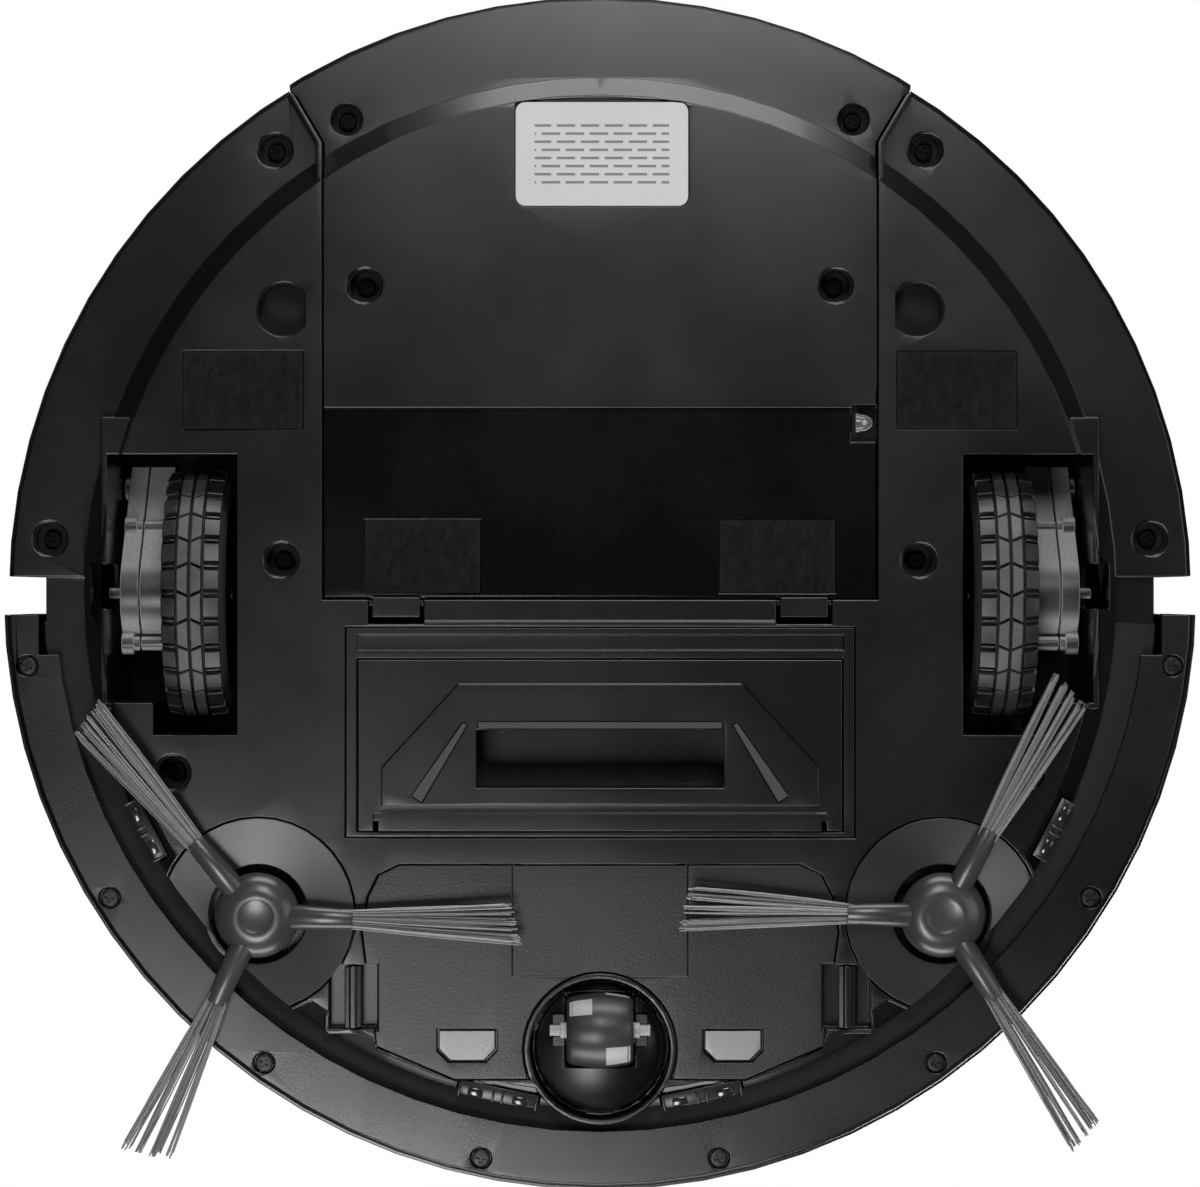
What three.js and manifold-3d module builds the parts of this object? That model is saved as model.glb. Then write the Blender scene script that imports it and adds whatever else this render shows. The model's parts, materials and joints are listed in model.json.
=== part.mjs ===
// Robot vacuum, standing on its wheels. Millimetres, +Z up, the front (bumper) towards -Y.
// The origin is on the floor under the middle of the body.
import * as THREE from 'three';
import { mergeVertices } from 'three/addons/utils/BufferGeometryUtils.js';
import Module from 'manifold-3d';

const wasm = await Module();
wasm.setup();

// ---------- driving dimensions ----------
const caseRadius = 153.7; // rear half of the case
const caseHeight = 74.5;
const wheelRadius = 32.5; // drive wheels
const body = {
  radius: caseRadius,
  frontRadius: caseRadius - 8.7, // inner case behind the bumper
  height: caseHeight,
  wall: 2.5,
  floorZ: 9.5, // underside of the middle of the floor
  rimZ: 13.5, // underside of the raised outer rim
  stepInner: caseRadius - 24.7,
  stepOuter: caseRadius - 19.7,
  seamZ: 40, // where the base meets the cover
  notchY: 4.4, // flat ends of the rear half, beside the bumper
};
const deck = { radius: body.frontRadius - 8, thickness: 1.6, recess: 1 };
const bumper = {
  radius: caseRadius + 1.3,
  wall: 2.4,
  bottomZ: 12,
  topZ: caseHeight - 5.5,
  endY: -5.5,
  travel: 1.8,
  skirtThickness: 2.4,
  skirtRadius: caseRadius + 0.4,
  skirtInner: caseRadius - 12.2, // inner edge, about a centre behind the middle
  skirtShift: 2,
  endPocket: { inner: caseRadius - 17.7, outer: caseRadius - 8.1, length: 10.4 },
  window: { half: 46, lowZ: 38, highZ: 54, sunk: 0.3 }, // dark, across the front
};
const binHalfWidth = 71.6;
const bin = {
  halfWidth: binHalfWidth,
  frontY: -1.3,
  flareY: 117, // where the sides start to widen
  flareWidth: binHalfWidth + 8.9,
  flareLean: 0.172, // how fast the sides widen behind the flare
  flareRun: 90, // long enough to leave the case
  radius: caseRadius + 1.3,
  topZ: caseHeight - 14.5,
  wall: 2,
  panelFront: 0.4, // front edge of the dark panel, from the bin's front face
  panelRearY: 48,
  panelZ: 11.6,
  panelThickness: 1.6,
};
const well = {
  innerX: 94,
  outerX: 127.6,
  stepX: 115.6, // the outer part of the well is shorter
  rearY: wheelRadius + 3.5,
  frontY: -wheelRadius - 4.1,
  shortY: -wheelRadius + 4.2,
  topZ: caseHeight - 5.5,
  wall: 1.6,
  notch: { width: 4.4, frontY: -4, rearY: 7.6, topZ: wheelRadius + 4.5 }, // for the axle's stub
  pocketY: wheelRadius + 11.5, // room behind the floor's edge for the gearbox's swing
};
const drive = {
  radius: wheelRadius,
  tyreWidth: 16.5,
  centreX: 104.75,
  rimRadius: wheelRadius - 7,
  pivotY: 28,
  pivotZ: wheelRadius + 16.5,
  gearboxX: 113.9,
  gearboxWidth: 11.6,
  axleRadius: 3,
  gearbox: { radius: 11.5, length: 36.6, topZ: 62, stub: 1.5, stubLength: 4 },
  gearboxBosses: [[-13.1, -5.5], [17.5, 2.5]], // Y, and height above the axle
  boss: { radius: 1.9, capRadius: 2.9, capLength: 3.2 },
};
const hubRadius = 11;
const brush = {
  x: 88.5,
  y: -83,
  hubRadius,
  holeRadius: hubRadius + 1.6,
  dishRadius: 24.9,
  tuftLength: 67,
  tuftHalf: { root: 2, tip: 6 },
  tuftThickness: 2,
  holderLength: 25,
  holderRadius: { tip: 2.6, root: 3.1 },
  armZ: 6.3,
  armSlope: 4, // degrees down towards the tips
  arms: { left: [50, 182, 295], right: [118.5, 1, 237.5] }, // degrees about +Z from +X
};
const caster = {
  y: -118,
  socketRadius: 18.2,
  cupRadius: 19.4, // outside of the cup round the socket
  cupTop: 27.5,
  swivelRadius: 17.4,
  wheelRadius: 9.75,
  wheelWidth: 17.2,
  trail: 5,
  axleRadius: 1.5,
  axleLength: 26,
  stemRadius: 3,
};
const mouth = {
  halfWidth: 66,
  rearY: -8.6,
  frontY: -63.3,
  plate: { halfWidth: 62.6, rearY: -17.2, frontY: -61.4, thickness: 2.2, proud: 0.3 },
  raised: { side: 56.4, shoulder: 36.6, rearY: -23.4, sideY: -45, frontY: -54.8, height: 1.6 },
  slot: { halfWidth: 32, rearY: -35.2, frontY: -50.2 },
  vane: { innerX: 34.4, outerX: 46, rearY: -34, frontY: -53.8, innerWidth: 1, outerWidth: 2.6 },
  duct: { wall: 1.6, lowZ: 15, highZ: 36 },
};
const hatch = {
  halfWidth: 51.9, // half of the straight rear edge
  waist: 61.5, // half width at the widest
  frontHalf: 37.6, // half of the straight front edge
  caveHalf: 19, // half width of the cut in front of the caster
  rearY: -70.4,
  frontY: -125.6,
  thickness: 2.2,
  ledge: 2.4, // of the floor above it
  inset: { halfWidth: 22.7, frontY: -98.9, depth: 0.6 },
  tab: { x: 25.4, width: 6.8, reach: 1.3 },
};
const contact = { x: 34.4, y: -117, width: 14.6, length: 7.8, thickness: 1.6, corner: 3 };
const wellHole = { radius: 4.2, chamfer: 0.6, bossRadius: 6, depth: 9 };
const screwPlaces = {
  base: [[84.4, 115], [82.5, 8.7], [caseRadius - 10.9, 14.2], [110.5, -46.3]],
  bin: [[binHalfWidth - 5.8, 123], [binHalfWidth - 10.7, 79.7]],
};
const plugHole = { x: 82, y: 73.5, radius: 7, flat: 5.6 };
const pad = { thickness: 1.4, sunk: 0.8 };
const basePad = { x: 92.3, y: 52.6, width: 31, length: 20.2 };
const binPad = { x: binHalfWidth - 25.6, y: 9.6, width: 30, length: 19 };
const latch = { x: 63.9, y: -104.4, length: 16, pocket: 12.4, width: 4.4, thickness: 2 };
const clip = { x: binHalfWidth - 18.8, width: 12.4, reach: 4.8, thickness: 1.9 };
const sensorSpots = [
  { name: 'front', angle: -101.5, radius: body.stepOuter - 1, width: 21, depth: 5 },
  { name: 'side', angle: -152.5, radius: body.stepOuter - 1, width: 17, depth: 5 },
];
const screwRing = { radius: caseRadius - 4.1, recess: 2.8, spots: [-7.2, -31.8, -54.4, -78.1] };
const inlet = { halfWidth: 33, lowZ: 18, highZ: 34 };
const led = { x: binHalfWidth - 3.2, y: 44.2, z: 11.4, radius: 2.4, length: 4.4 };
const rating = { x: -0.5, y: 113.7, width: 44.6, length: 26.8, sunk: 0.35, thickness: 0.3 };
const filter = { halfWidth: 44, frontY: 96, rearY: 112, lowZ: 30 };
const releaseButton = { halfWidth: 15, z: 50, half: 5, depth: 5.8 };
const powerKey = { radius: 14, y: -96, height: 1.4, depth: 4.5 };
const battery = { halfWidth: 37, frontY: -96, rearY: -69, lowZ: 16, height: 34 };
const board = { halfWidth: 60, frontY: -62, rearY: -8, drop: 12.5, thickness: 1.6 };
const fan = { x: 46, y: -30, radius: 19, eyeRadius: 16, lowZ: 40, shoulderZ: 52, highZ: 56 };
const above = 120; // higher than the whole body
const beyond = 220; // further out than the whole body
const clearance = 0.35; // between parts that move against each other
const seat = 0.05; // between parts that rest on each other
const arcSteps = 72; // straight sides to a full circle on the large rounds
const small = 16; // and on the small ones

const colour = {
  shell: 0x242425,
  inner: 0x161617,
  grey: 0x6d6e70,
  rubber: 0x141414,
  translucent: 0x7a7b7d,
  metal: 0xb9babb,
  paper: 0xb4b4b2,
  pile: 0x0e0e0e,
  gloss: 0x101012,
};

// ---------- solids ----------
function solid(geometry) {
  const bare = geometry.clone();
  bare.deleteAttribute('normal');
  bare.deleteAttribute('uv');
  const merged = mergeVertices(bare, 1e-4);
  return new wasm.Manifold(new wasm.Mesh({
    numProp: 3,
    vertProperties: new Float32Array(merged.attributes.position.array),
    triVerts: new Uint32Array(merged.index.array),
  }));
}

function toGeometry(manifold) {
  const mesh = manifold.getMesh();
  const geometry = new THREE.BufferGeometry();
  geometry.setAttribute('position', new THREE.BufferAttribute(mesh.vertProperties, 3));
  geometry.setIndex(new THREE.BufferAttribute(mesh.triVerts, 1));
  geometry.computeVertexNormals();
  return geometry;
}

// A box between two corners.
function block(x0, x1, y0, y1, z0, z1) {
  const geometry = new THREE.BoxGeometry(Math.abs(x1 - x0), Math.abs(y1 - y0), Math.abs(z1 - z0));
  geometry.translate((x0 + x1) / 2, (y0 + y1) / 2, (z0 + z1) / 2);
  return solid(geometry);
}

// A body turned about a line along +Z through (x, y), from a profile of [radius, z] points.
function turned(profile, x = 0, y = 0, steps = arcSteps) {
  const points = profile.map(([r, z]) => new THREE.Vector2(r, z));
  const geometry = new THREE.LatheGeometry(points, steps);
  geometry.rotateX(Math.PI / 2);
  geometry.translate(x, y, 0);
  const made = solid(geometry);
  return made.volume() < 0 ? solid(flipped(geometry)) : made;
}

function flipped(geometry) {
  const turnedOver = geometry.clone();
  const index = turnedOver.index.array;
  for (let i = 0; i < index.length; i += 3) {
    [index[i], index[i + 1]] = [index[i + 1], index[i]];
  }
  return turnedOver;
}

function disc(radius, z0, z1, x = 0, y = 0, steps = arcSteps) {
  return turned([[0, z0], [radius, z0], [radius, z1], [0, z1]], x, y, steps);
}

// A ring with a square section.
function ring(inner, outer, z0, z1, x = 0, y = 0, steps = arcSteps) {
  return disc(outer, z0, z1, x, y, steps).subtract(disc(inner, z0 - 1, z1 + 1, x, y, steps));
}

// A cylinder along X.
function rod(radius, x0, x1, y, z, steps = small) {
  const geometry = new THREE.CylinderGeometry(radius, radius, x1 - x0, steps);
  geometry.rotateZ(Math.PI / 2);
  geometry.translate((x0 + x1) / 2, y, z);
  return solid(geometry);
}

// A flat outline in X and Y, raised from z0 to z1.
function prism(outline, z0, z1) {
  const shape = outline instanceof THREE.Shape ? outline : polygon(outline);
  const geometry = new THREE.ExtrudeGeometry(shape, {
    depth: z1 - z0,
    bevelEnabled: false,
    curveSegments: 4,
  });
  geometry.translate(0, 0, z0);
  return solid(geometry);
}

function polygon(points) {
  return new THREE.Shape(points.map(([x, y]) => new THREE.Vector2(x, y)));
}

// The same outline on the other side of the middle.
function mirrored(points) {
  return [...points, ...points.map(([x, y]) => [-x, y]).reverse()];
}

// A rectangle with round corners.
function roundedRectangle(x, y, width, length, radius) {
  const left = x - width / 2;
  const right = x + width / 2;
  const low = y - length / 2;
  const high = y + length / 2;
  const shape = new THREE.Shape();
  shape.moveTo(left + radius, low);
  shape.lineTo(right - radius, low);
  shape.absarc(right - radius, low + radius, radius, -Math.PI / 2, 0);
  shape.lineTo(right, high - radius);
  shape.absarc(right - radius, high - radius, radius, 0, Math.PI / 2);
  shape.lineTo(left + radius, high);
  shape.absarc(left + radius, high - radius, radius, Math.PI / 2, Math.PI);
  shape.lineTo(left, low + radius);
  shape.absarc(left + radius, low + radius, radius, Math.PI, Math.PI * 1.5);
  return shape;
}

function union(parts) {
  return parts.reduce((whole, next) => whole.add(next));
}

// The same piece for the left (1) and the right (-1) side.
function sided(manifold, side) {
  return side > 0 ? manifold : manifold.mirror([1, 0, 0]);
}

const group = new THREE.Group();
const sides = [['left', 1], ['right', -1]];

function place(name, manifold, color, roughness = 0.5, metalness = 0) {
  const material = new THREE.MeshStandardMaterial({ color, roughness, metalness });
  const mesh = new THREE.Mesh(toGeometry(manifold), material);
  mesh.name = name;
  group.add(mesh);
  return mesh;
}

// ---------- shared outlines ----------
// The underside steps up from the floor to the rim, so flush pieces follow this profile.
function steppedDisc(radius, topZ) {
  const { floorZ, rimZ, stepInner, stepOuter } = body;
  return turned([
    [0, floorZ], [stepInner, floorZ], [stepOuter, rimZ],
    [radius - 1.2, rimZ], [radius, rimZ + 1.2], [radius, topZ], [0, topZ],
  ]);
}

// The rear module's outline seen from below, grown by a gap.
function binOutline(gap = 0) {
  const width = bin.halfWidth + gap;
  const flare = bin.flareWidth + gap;
  return mirrored([
    [width, bin.frontY - gap], [width, bin.flareY], [flare - 1.8, bin.flareY + 12],
    [flare, bin.flareY + 13.4], [flare + bin.flareRun * bin.flareLean, bin.flareY + 13.4 + bin.flareRun],
  ]);
}

// The battery hatch's outline, cut round the caster, grown by a gap.
function hatchSolid(z0, z1, gap = 0) {
  const { halfWidth, waist, rearY, frontY, frontHalf, caveHalf } = hatch;
  const outline = mirrored([
    [frontHalf, frontY - gap], [57.8, frontY + 8.6 - gap], [waist + gap, frontY + 38],
    [waist - 1.6 + gap, rearY - 8], [waist - 4.4 + gap, rearY - 2.4], [halfWidth, rearY + gap],
  ]);
  const socket = disc(caster.cupRadius + 0.7 - gap, z0 - 1, z1 + 1, 0, caster.y, 36);
  const notch = block(-caveHalf, caveHalf, frontY - 9, caster.y, z0 - 1, z1 + 1);
  const plain = prism(outline, z0, z1).subtract(socket);
  return gap ? plain : plain.subtract(notch);
}

// Two tabs on the hatch's rear edge that hook behind the floor.
function hatchTabs(gap = 0) {
  const { rearY, thickness, tab } = hatch;
  const z0 = body.floorZ + 0.6;
  return union([1, -1].map((side) => block(side * (tab.x - tab.width / 2 - gap),
    side * (tab.x + tab.width / 2 + gap), rearY - 3, rearY + tab.reach + gap,
    z0 - gap, body.floorZ + thickness + gap)));
}

// The drive well's outline seen from below, on the left side, grown by a gap.
function wellOutline(gap = 0, rearY = well.rearY) {
  return [
    [well.innerX - gap, well.frontY - gap], [well.stepX, well.frontY - gap],
    [well.stepX, well.shortY - gap], [well.outerX + gap, well.shortY - gap],
    [well.outerX + gap, rearY + gap], [well.innerX - gap, rearY + gap],
  ];
}

// ---------- chassis ----------
// The underside's height at a place.
function lowZ(x, y) {
  return Math.hypot(x, y) > body.stepOuter ? body.rimZ : body.floorZ;
}

// A deep round well for a screw, with a wide chamfer at its mouth.
function screwWell(x, y, mouthZ, endZ) {
  const { radius, chamfer } = wellHole;
  return turned([[0, mouthZ - 1], [radius + chamfer + 1, mouthZ - 1], [radius, mouthZ + chamfer],
    [radius, endZ], [0, endZ]], x, y, small);
}

function baseWithoutHoles() {
  const { floorZ, rimZ, seamZ, wall, notchY, radius, frontRadius, stepOuter } = body;
  const floorTop = floorZ + wall;
  const rimTop = rimZ + wall;
  const rearHalf = block(-beyond, beyond, notchY, beyond, 0, above);
  const middle = steppedDisc(stepOuter + 1.2, seamZ).intersect(disc(stepOuter, 0, above));
  const outer = union([
    middle,
    steppedDisc(radius, seamZ).intersect(rearHalf),
    disc(frontRadius, rimZ + 3, seamZ),
  ]);
  const rearRoom = block(-beyond, beyond, notchY + wall, beyond, 0, above);
  const rimRoomZ = rimTop + 3;
  const room = union([
    turned([[0, floorTop], [body.stepInner - 1, floorTop], [stepOuter - wall, rimTop + 0.5],
      [stepOuter - wall, seamZ + 1], [0, seamZ + 1]]),
    disc(frontRadius - wall, rimRoomZ, seamZ + 1),
    disc(radius - wall, rimTop, seamZ + 1).intersect(rearRoom),
  ]);
  return outer.subtract(room);
}

function screwBosses() {
  const top = body.floorZ + 4 + wellHole.depth;
  return screwPlaces.base.flatMap(([x, y]) => [1, -1].map((side) => (
    disc(wellHole.bossRadius, lowZ(x, y) + 0.8, top, side * x, y, 12))));
}

// A frame round each side latch's finger pocket.
function latchFrame(side) {
  const { floorZ, stepOuter } = body;
  const halfX = latch.pocket / 2 + 1.2;
  const halfY = latch.length / 2 + 1.6;
  const x = side * latch.x;
  return block(x - halfX, x + halfX, latch.y - halfY, latch.y + halfY, floorZ + 1, floorZ + 7.4)
    .intersect(disc(stepOuter, 0, above));
}

function baseBosses() {
  const { floorZ, rimZ, stepOuter, frontRadius } = body;
  const bosses = screwBosses();
  for (const side of [1, -1]) {
    const x = side * brush.x;
    bosses.push(disc(plugHole.radius + 1.8, floorZ + 1, floorZ + 3 + wellHole.depth,
      side * plugHole.x, plugHole.y, 16));
    bosses.push(disc(brush.dishRadius + 1.4, floorZ, rimZ + 3, x, brush.y, 36)
      .intersect(disc(stepOuter, 0, above)));
    bosses.push(ring(brush.holeRadius, brush.holeRadius + 1.8, floorZ + 1, 22, x, brush.y, 32)
      .intersect(disc(frontRadius - 0.5, 0, above)));
    bosses.push(latchFrame(side));
  }
  return union(bosses);
}

// A rectangular cut for a pad, sunk into the face it is glued to.
function padRecess(spot, side, faceZ) {
  const x = side * spot.x;
  return block(x - spot.width / 2, x + spot.width / 2, spot.y - spot.length / 2,
    spot.y + spot.length / 2, faceZ - 2, faceZ + pad.sunk);
}

// The round socket with one flat side behind each side of the bin.
function plugSocket(side) {
  const flatX = side * (plugHole.x - plugHole.flat);
  return disc(plugHole.radius, body.floorZ - 1, body.floorZ + 1 + wellHole.depth,
    side * plugHole.x, plugHole.y, 28).intersect(block(flatX, side * beyond, 0, beyond, 0, above));
}

function baseCuts() {
  const { floorZ } = body;
  const end = floorZ + 2 + wellHole.depth;
  const cuts = screwPlaces.base.flatMap(([x, y]) => [1, -1].map((side) => (
    screwWell(side * x, y, lowZ(x, y), end))));
  for (const side of [1, -1]) {
    const x = side * brush.x;
    cuts.push(plugSocket(side));
    cuts.push(disc(brush.dishRadius + clearance, floorZ - 1, floorZ + 2.6, x, brush.y, 36));
    cuts.push(disc(brush.holeRadius, floorZ - 1, 40, x, brush.y, 32));
    cuts.push(padRecess(basePad, side, floorZ));
  }
  return union(cuts);
}

// The side latches' finger pockets, the front sensors' windows and the contact windows.
function baseWindows() {
  const { floorZ } = body;
  const cuts = [];
  for (const side of [1, -1]) {
    const x = side * latch.x;
    cuts.push(block(x - latch.pocket / 2, x + latch.pocket / 2, latch.y - latch.length / 2 - clearance,
      latch.y + latch.length / 2 + clearance, floorZ - 1, floorZ + 6));
    for (const spot of sensorSpots) {
      cuts.push(sensorBlock(spot, side, clearance, floorZ - 5));
    }
    cuts.push(block(side * (clip.x - clip.width / 2 - 1), side * (clip.x + clip.width / 2 + 1),
      bin.frontY - clip.reach - 1.8, bin.frontY + 1, floorZ - 1, floorZ + 2.9));
  }
  cuts.push(block(-clip.x, clip.x, bin.frontY - 5.8, bin.frontY + 1, floorZ - 1, floorZ + 0.6));
  return union(cuts);
}

// A cliff sensor's window, set across the edge of the floor at an angle round the front.
function sensorBlock(spot, side, gap, z0) {
  const top = body.floorZ + 5.9;
  const geometry = new THREE.BoxGeometry(spot.depth + 2 * gap, spot.width + 2 * gap, top - z0);
  geometry.translate(spot.radius, 0, (top + z0) / 2);
  const angle = THREE.MathUtils.degToRad(side > 0 ? -180 - spot.angle : spot.angle);
  geometry.rotateZ(angle);
  return solid(geometry);
}

// Housings that stand up inside: two drive wells, the bin bay, the hatch's ledge and the caster's cup.
function baseHousings() {
  const { floorZ, seamZ, radius, wall, stepOuter } = body;
  const bay = binOutline(clearance + well.wall);
  const wells = [1, -1].map((side) => (
    sided(prism(wellOutline(well.wall, well.pocketY), floorZ + 0.5, well.topZ), side)));
  return union([
    ...wells,
    prism(bay, floorZ + 0.5, seamZ).intersect(disc(radius - 1, 0, above)),
    prism(bay, floorZ + 5, bin.topZ).intersect(disc(radius - wall - clearance, 0, above)),
    hatchSolid(floorZ + 1, floorZ + hatch.thickness + hatch.ledge, 1.2)
      .intersect(disc(stepOuter - 2, 0, above)),
    disc(caster.cupRadius, floorZ, caster.cupTop, 0, caster.y, 48),
  ]);
}

// The room inside a drive well, with a notch for the axle's stub.
function wellRoom(side) {
  const { wall, topZ, pocketY, outerX, notch } = well;
  const { floorZ } = body;
  const room = prism(wellOutline(0), floorZ - 2, topZ - wall)
    .add(prism(wellOutline(0, pocketY), floorZ + body.wall + 0.3, topZ - wall))
    .add(block(outerX - 1, outerX + notch.width, notch.frontY, notch.rearY, floorZ - 2, notch.topZ));
  return sided(room, side);
}

// The openings for the battery hatch, its tabs and the battery behind it.
function batteryOpening() {
  const { floorZ } = body;
  const { halfWidth, frontY, rearY } = battery;
  return hatchSolid(floorZ - 1, floorZ + hatch.thickness + seat, clearance)
    .subtract(disc(caster.cupRadius, 0, 40, 0, caster.y, 48))
    .add(hatchTabs(clearance))
    .add(block(-halfWidth - 1, halfWidth + 1, frontY - 1, rearY - 3, floorZ - 1, 30));
}

function casterSocket() {
  return disc(caster.socketRadius, body.floorZ - 1, caster.cupTop - 2.1, 0, caster.y, 48)
    .add(disc(caster.stemRadius + clearance, 20, 40, 0, caster.y, small));
}

function inletBlock(frontY, rearY) {
  return block(-inlet.halfWidth, inlet.halfWidth, frontY, rearY, inlet.lowZ, inlet.highZ);
}

function chassisBase() {
  const { notchY, radius } = body;
  const { halfWidth, frontY, rearY } = mouth;
  const solidBase = union([baseWithoutHoles(), baseBosses(), baseHousings()]);
  const endNotches = [1, -1].map((side) => (
    block(side * (radius - 9.5), side * beyond, notchY - 12, notchY, 0, above)));
  const cuts = union([
    wellRoom(1),
    wellRoom(-1),
    prism(binOutline(clearance), 0, above),
    casterSocket(),
    batteryOpening(),
    inletBlock(bin.frontY - 5, bin.frontY + 1),
    block(-halfWidth, halfWidth, frontY, rearY, 5, 20),
    baseCuts(),
    baseWindows(),
    ...endNotches,
  ]);
  return largest(solidBase.subtract(cuts));
}

// The one body that matters, without loose crumbs that a cut leaves behind.
function largest(manifold) {
  const bodies = manifold.decompose();
  return bodies.reduce((a, b) => (b.volume() > a.volume() ? b : a));
}

// ---------- top ----------
function topCover() {
  const { radius, frontRadius, seamZ, height, wall, notchY } = body;
  const z0 = seamZ + seat;
  const shell = (r, low) => turned([[0, low], [r, low], [r, height - 4], [r - 1.2, height - 1.2],
    [r - 4, height], [0, height]]);
  const rearHalf = block(-beyond, beyond, notchY, beyond, 0, above);
  const rearRoom = block(-beyond, beyond, notchY + wall, beyond, 0, above);
  const outer = shell(frontRadius, z0).add(shell(radius, z0).intersect(rearHalf));
  const roof = height - wall;
  const room = disc(frontRadius - wall, z0 - 1, roof)
    .add(disc(radius - wall, z0 - 1, roof).intersect(rearRoom));
  let cover = outer.subtract(room);
  cover = cover.subtract(disc(deck.radius + seat * 2, height - deck.recess, height + 1));
  const opening = prism(binOutline(clearance), 0, bin.topZ + clearance);
  cover = cover.subtract(opening.intersect(ring(bin.flareY, beyond, 0, above)));
  cover = cover.subtract(powerKeyHole());
  return largest(cover);
}

function powerKeyHole() {
  return disc(powerKey.radius + clearance, body.height - 10, above, 0, powerKey.y, 32);
}

function topDeck() {
  const low = body.height - deck.recess + seat;
  const high = low + deck.recess + deck.thickness - 0.2;
  return turned([[0, low], [deck.radius, low], [deck.radius, high - 0.8],
    [deck.radius - 1, high], [0, high]]).subtract(powerKeyHole());
}

function powerButton() {
  const low = body.height - powerKey.depth;
  const high = body.height + deck.thickness + powerKey.height - 1.2;
  return turned([[0, low], [powerKey.radius, low], [powerKey.radius, high - 0.6],
    [powerKey.radius - 0.8, high], [0, high]], 0, powerKey.y, 32);
}

// ---------- bumper ----------
function bumperArc(manifold) {
  return manifold.intersect(block(-beyond, beyond, -beyond, bumper.endY, 0, above));
}

function bumperShell() {
  const { radius, wall, bottomZ, skirtThickness, topZ, travel } = bumper;
  const low = bottomZ + skirtThickness + seat;
  const inner = radius - wall;
  const lip = body.frontRadius + travel + 1.2;
  return bumperArc(turned([
    [inner, low], [radius, low], [radius, topZ - 5], [radius - 1.6, topZ - 1.6],
    [radius - 4, topZ], [lip, topZ], [lip, topZ - 2], [radius - 4.4, topZ - 2],
    [inner - 0.8, topZ - 3.4], [inner, topZ - 6], [inner, low],
  ])).subtract(bumperWindowBlock(seat));
}

// The dark infrared window across the front of the bumper.
function bumperWindowBlock(gap) {
  const { half, lowZ, highZ } = bumper.window;
  return block(-half - gap, half + gap, -beyond, -half, lowZ - gap, highZ + gap);
}

function bumperWindow() {
  const { radius, wall, window, bottomZ, topZ } = bumper;
  return ring(radius - wall, radius - window.sunk, bottomZ, topZ).intersect(bumperWindowBlock(0));
}

function bumperSkirt() {
  const { skirtRadius, skirtInner, skirtShift, bottomZ, skirtThickness, endPocket, endY } = bumper;
  const top = bottomZ + skirtThickness;
  const plate = turned([[0, bottomZ], [skirtRadius - 1, bottomZ], [skirtRadius, bottomZ + 1],
    [skirtRadius, top], [0, top]]);
  let skirt = plate.subtract(disc(skirtInner, 0, above, 0, skirtShift));
  for (const side of [1, -1]) {
    skirt = skirt.subtract(block(side * endPocket.inner, side * endPocket.outer,
      endY - endPocket.length, endY + 5, 0, above));
    for (const spot of screwRing.spots) {
      const angle = THREE.MathUtils.degToRad(spot);
      const x = side * screwRing.radius * Math.cos(angle);
      const y = screwRing.radius * Math.sin(angle);
      skirt = skirt.subtract(disc(screwRing.recess, bottomZ - 1, bottomZ + 1.2, x, y, 16));
    }
  }
  return largest(bumperArc(skirt));
}

// ---------- dust bin ----------
// The rooms inside the bin: one above the rim, and a lower one behind the panel.
function binRooms() {
  const { halfWidth, frontY, flareY, flareWidth, wall, topZ, panelRearY, radius } = bin;
  const upper = prism(mirrored([
    [halfWidth - wall, frontY + wall], [halfWidth - wall, flareY - 2],
    [flareWidth - wall - 2, flareY + 12], [flareWidth - wall, flareY + 13],
    [flareWidth - wall + 4, flareY + 107],
  ]), body.rimZ + 2.5, topZ + 5).intersect(disc(radius - wall - 0.6, 0, above));
  const lower = block(-halfWidth + wall, halfWidth - wall, panelRearY + wall, flareY - 2,
    body.floorZ + wall, body.rimZ + 3).intersect(disc(body.stepInner - 1.5, 0, above));
  return upper.add(lower);
}

// The screw wells in the bin's floor, with a boss round each.
function withBinWells(tub) {
  const { floorZ } = body;
  const inner = steppedDisc(bin.radius - bin.wall, bin.topZ);
  const { bossRadius, depth } = wellHole;
  const spots = screwPlaces.bin.flatMap(([x, y]) => [[x, y], [-x, y]]);
  const bosses = spots.map(([x, y]) => disc(bossRadius, floorZ + 1, floorZ + 5 + depth, x, y, 10));
  const wells = spots.map(([x, y]) => screwWell(x, y, floorZ, floorZ + 3 + depth));
  return tub.add(union(bosses).intersect(inner)).subtract(union(wells));
}

// The opening in the bin's rear wall for its release button.
function releaseOpening() {
  const { halfWidth, z, half } = releaseButton;
  return block(-halfWidth - clearance, halfWidth + clearance, bin.radius - 8, beyond,
    z - half - clearance, z + half + clearance);
}

function ratingOutline(gap = 0) {
  return roundedRectangle(rating.x, rating.y, rating.width + gap, rating.length + gap, 2.5);
}

function ratingLabel() {
  const high = body.floorZ + rating.sunk - seat;
  return prism(ratingOutline(), high - rating.thickness, high);
}

function binTub() {
  const { topZ, panelRearY, panelZ, panelThickness, frontY } = bin;
  const outer = steppedDisc(bin.radius, topZ).intersect(prism(binOutline(), 0, above));
  const roofZ = panelZ + panelThickness + seat;
  const tub = outer.subtract(binRooms())
    .subtract(block(-beyond, beyond, frontY - 1, panelRearY + seat, 0, roofZ))
    .subtract(inletBlock(frontY - 1, frontY + 4));
  const ledRoom = block(-led.x - 3, -led.x + 3, led.y - 4.6, led.y + 4.6, 0, led.z + 3.6);
  const labelRoom = prism(ratingOutline(0.3), 0, body.floorZ + rating.sunk);
  return largest(withBinWells(tub).subtract(union([ledRoom, labelRoom, releaseOpening()])));
}

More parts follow.
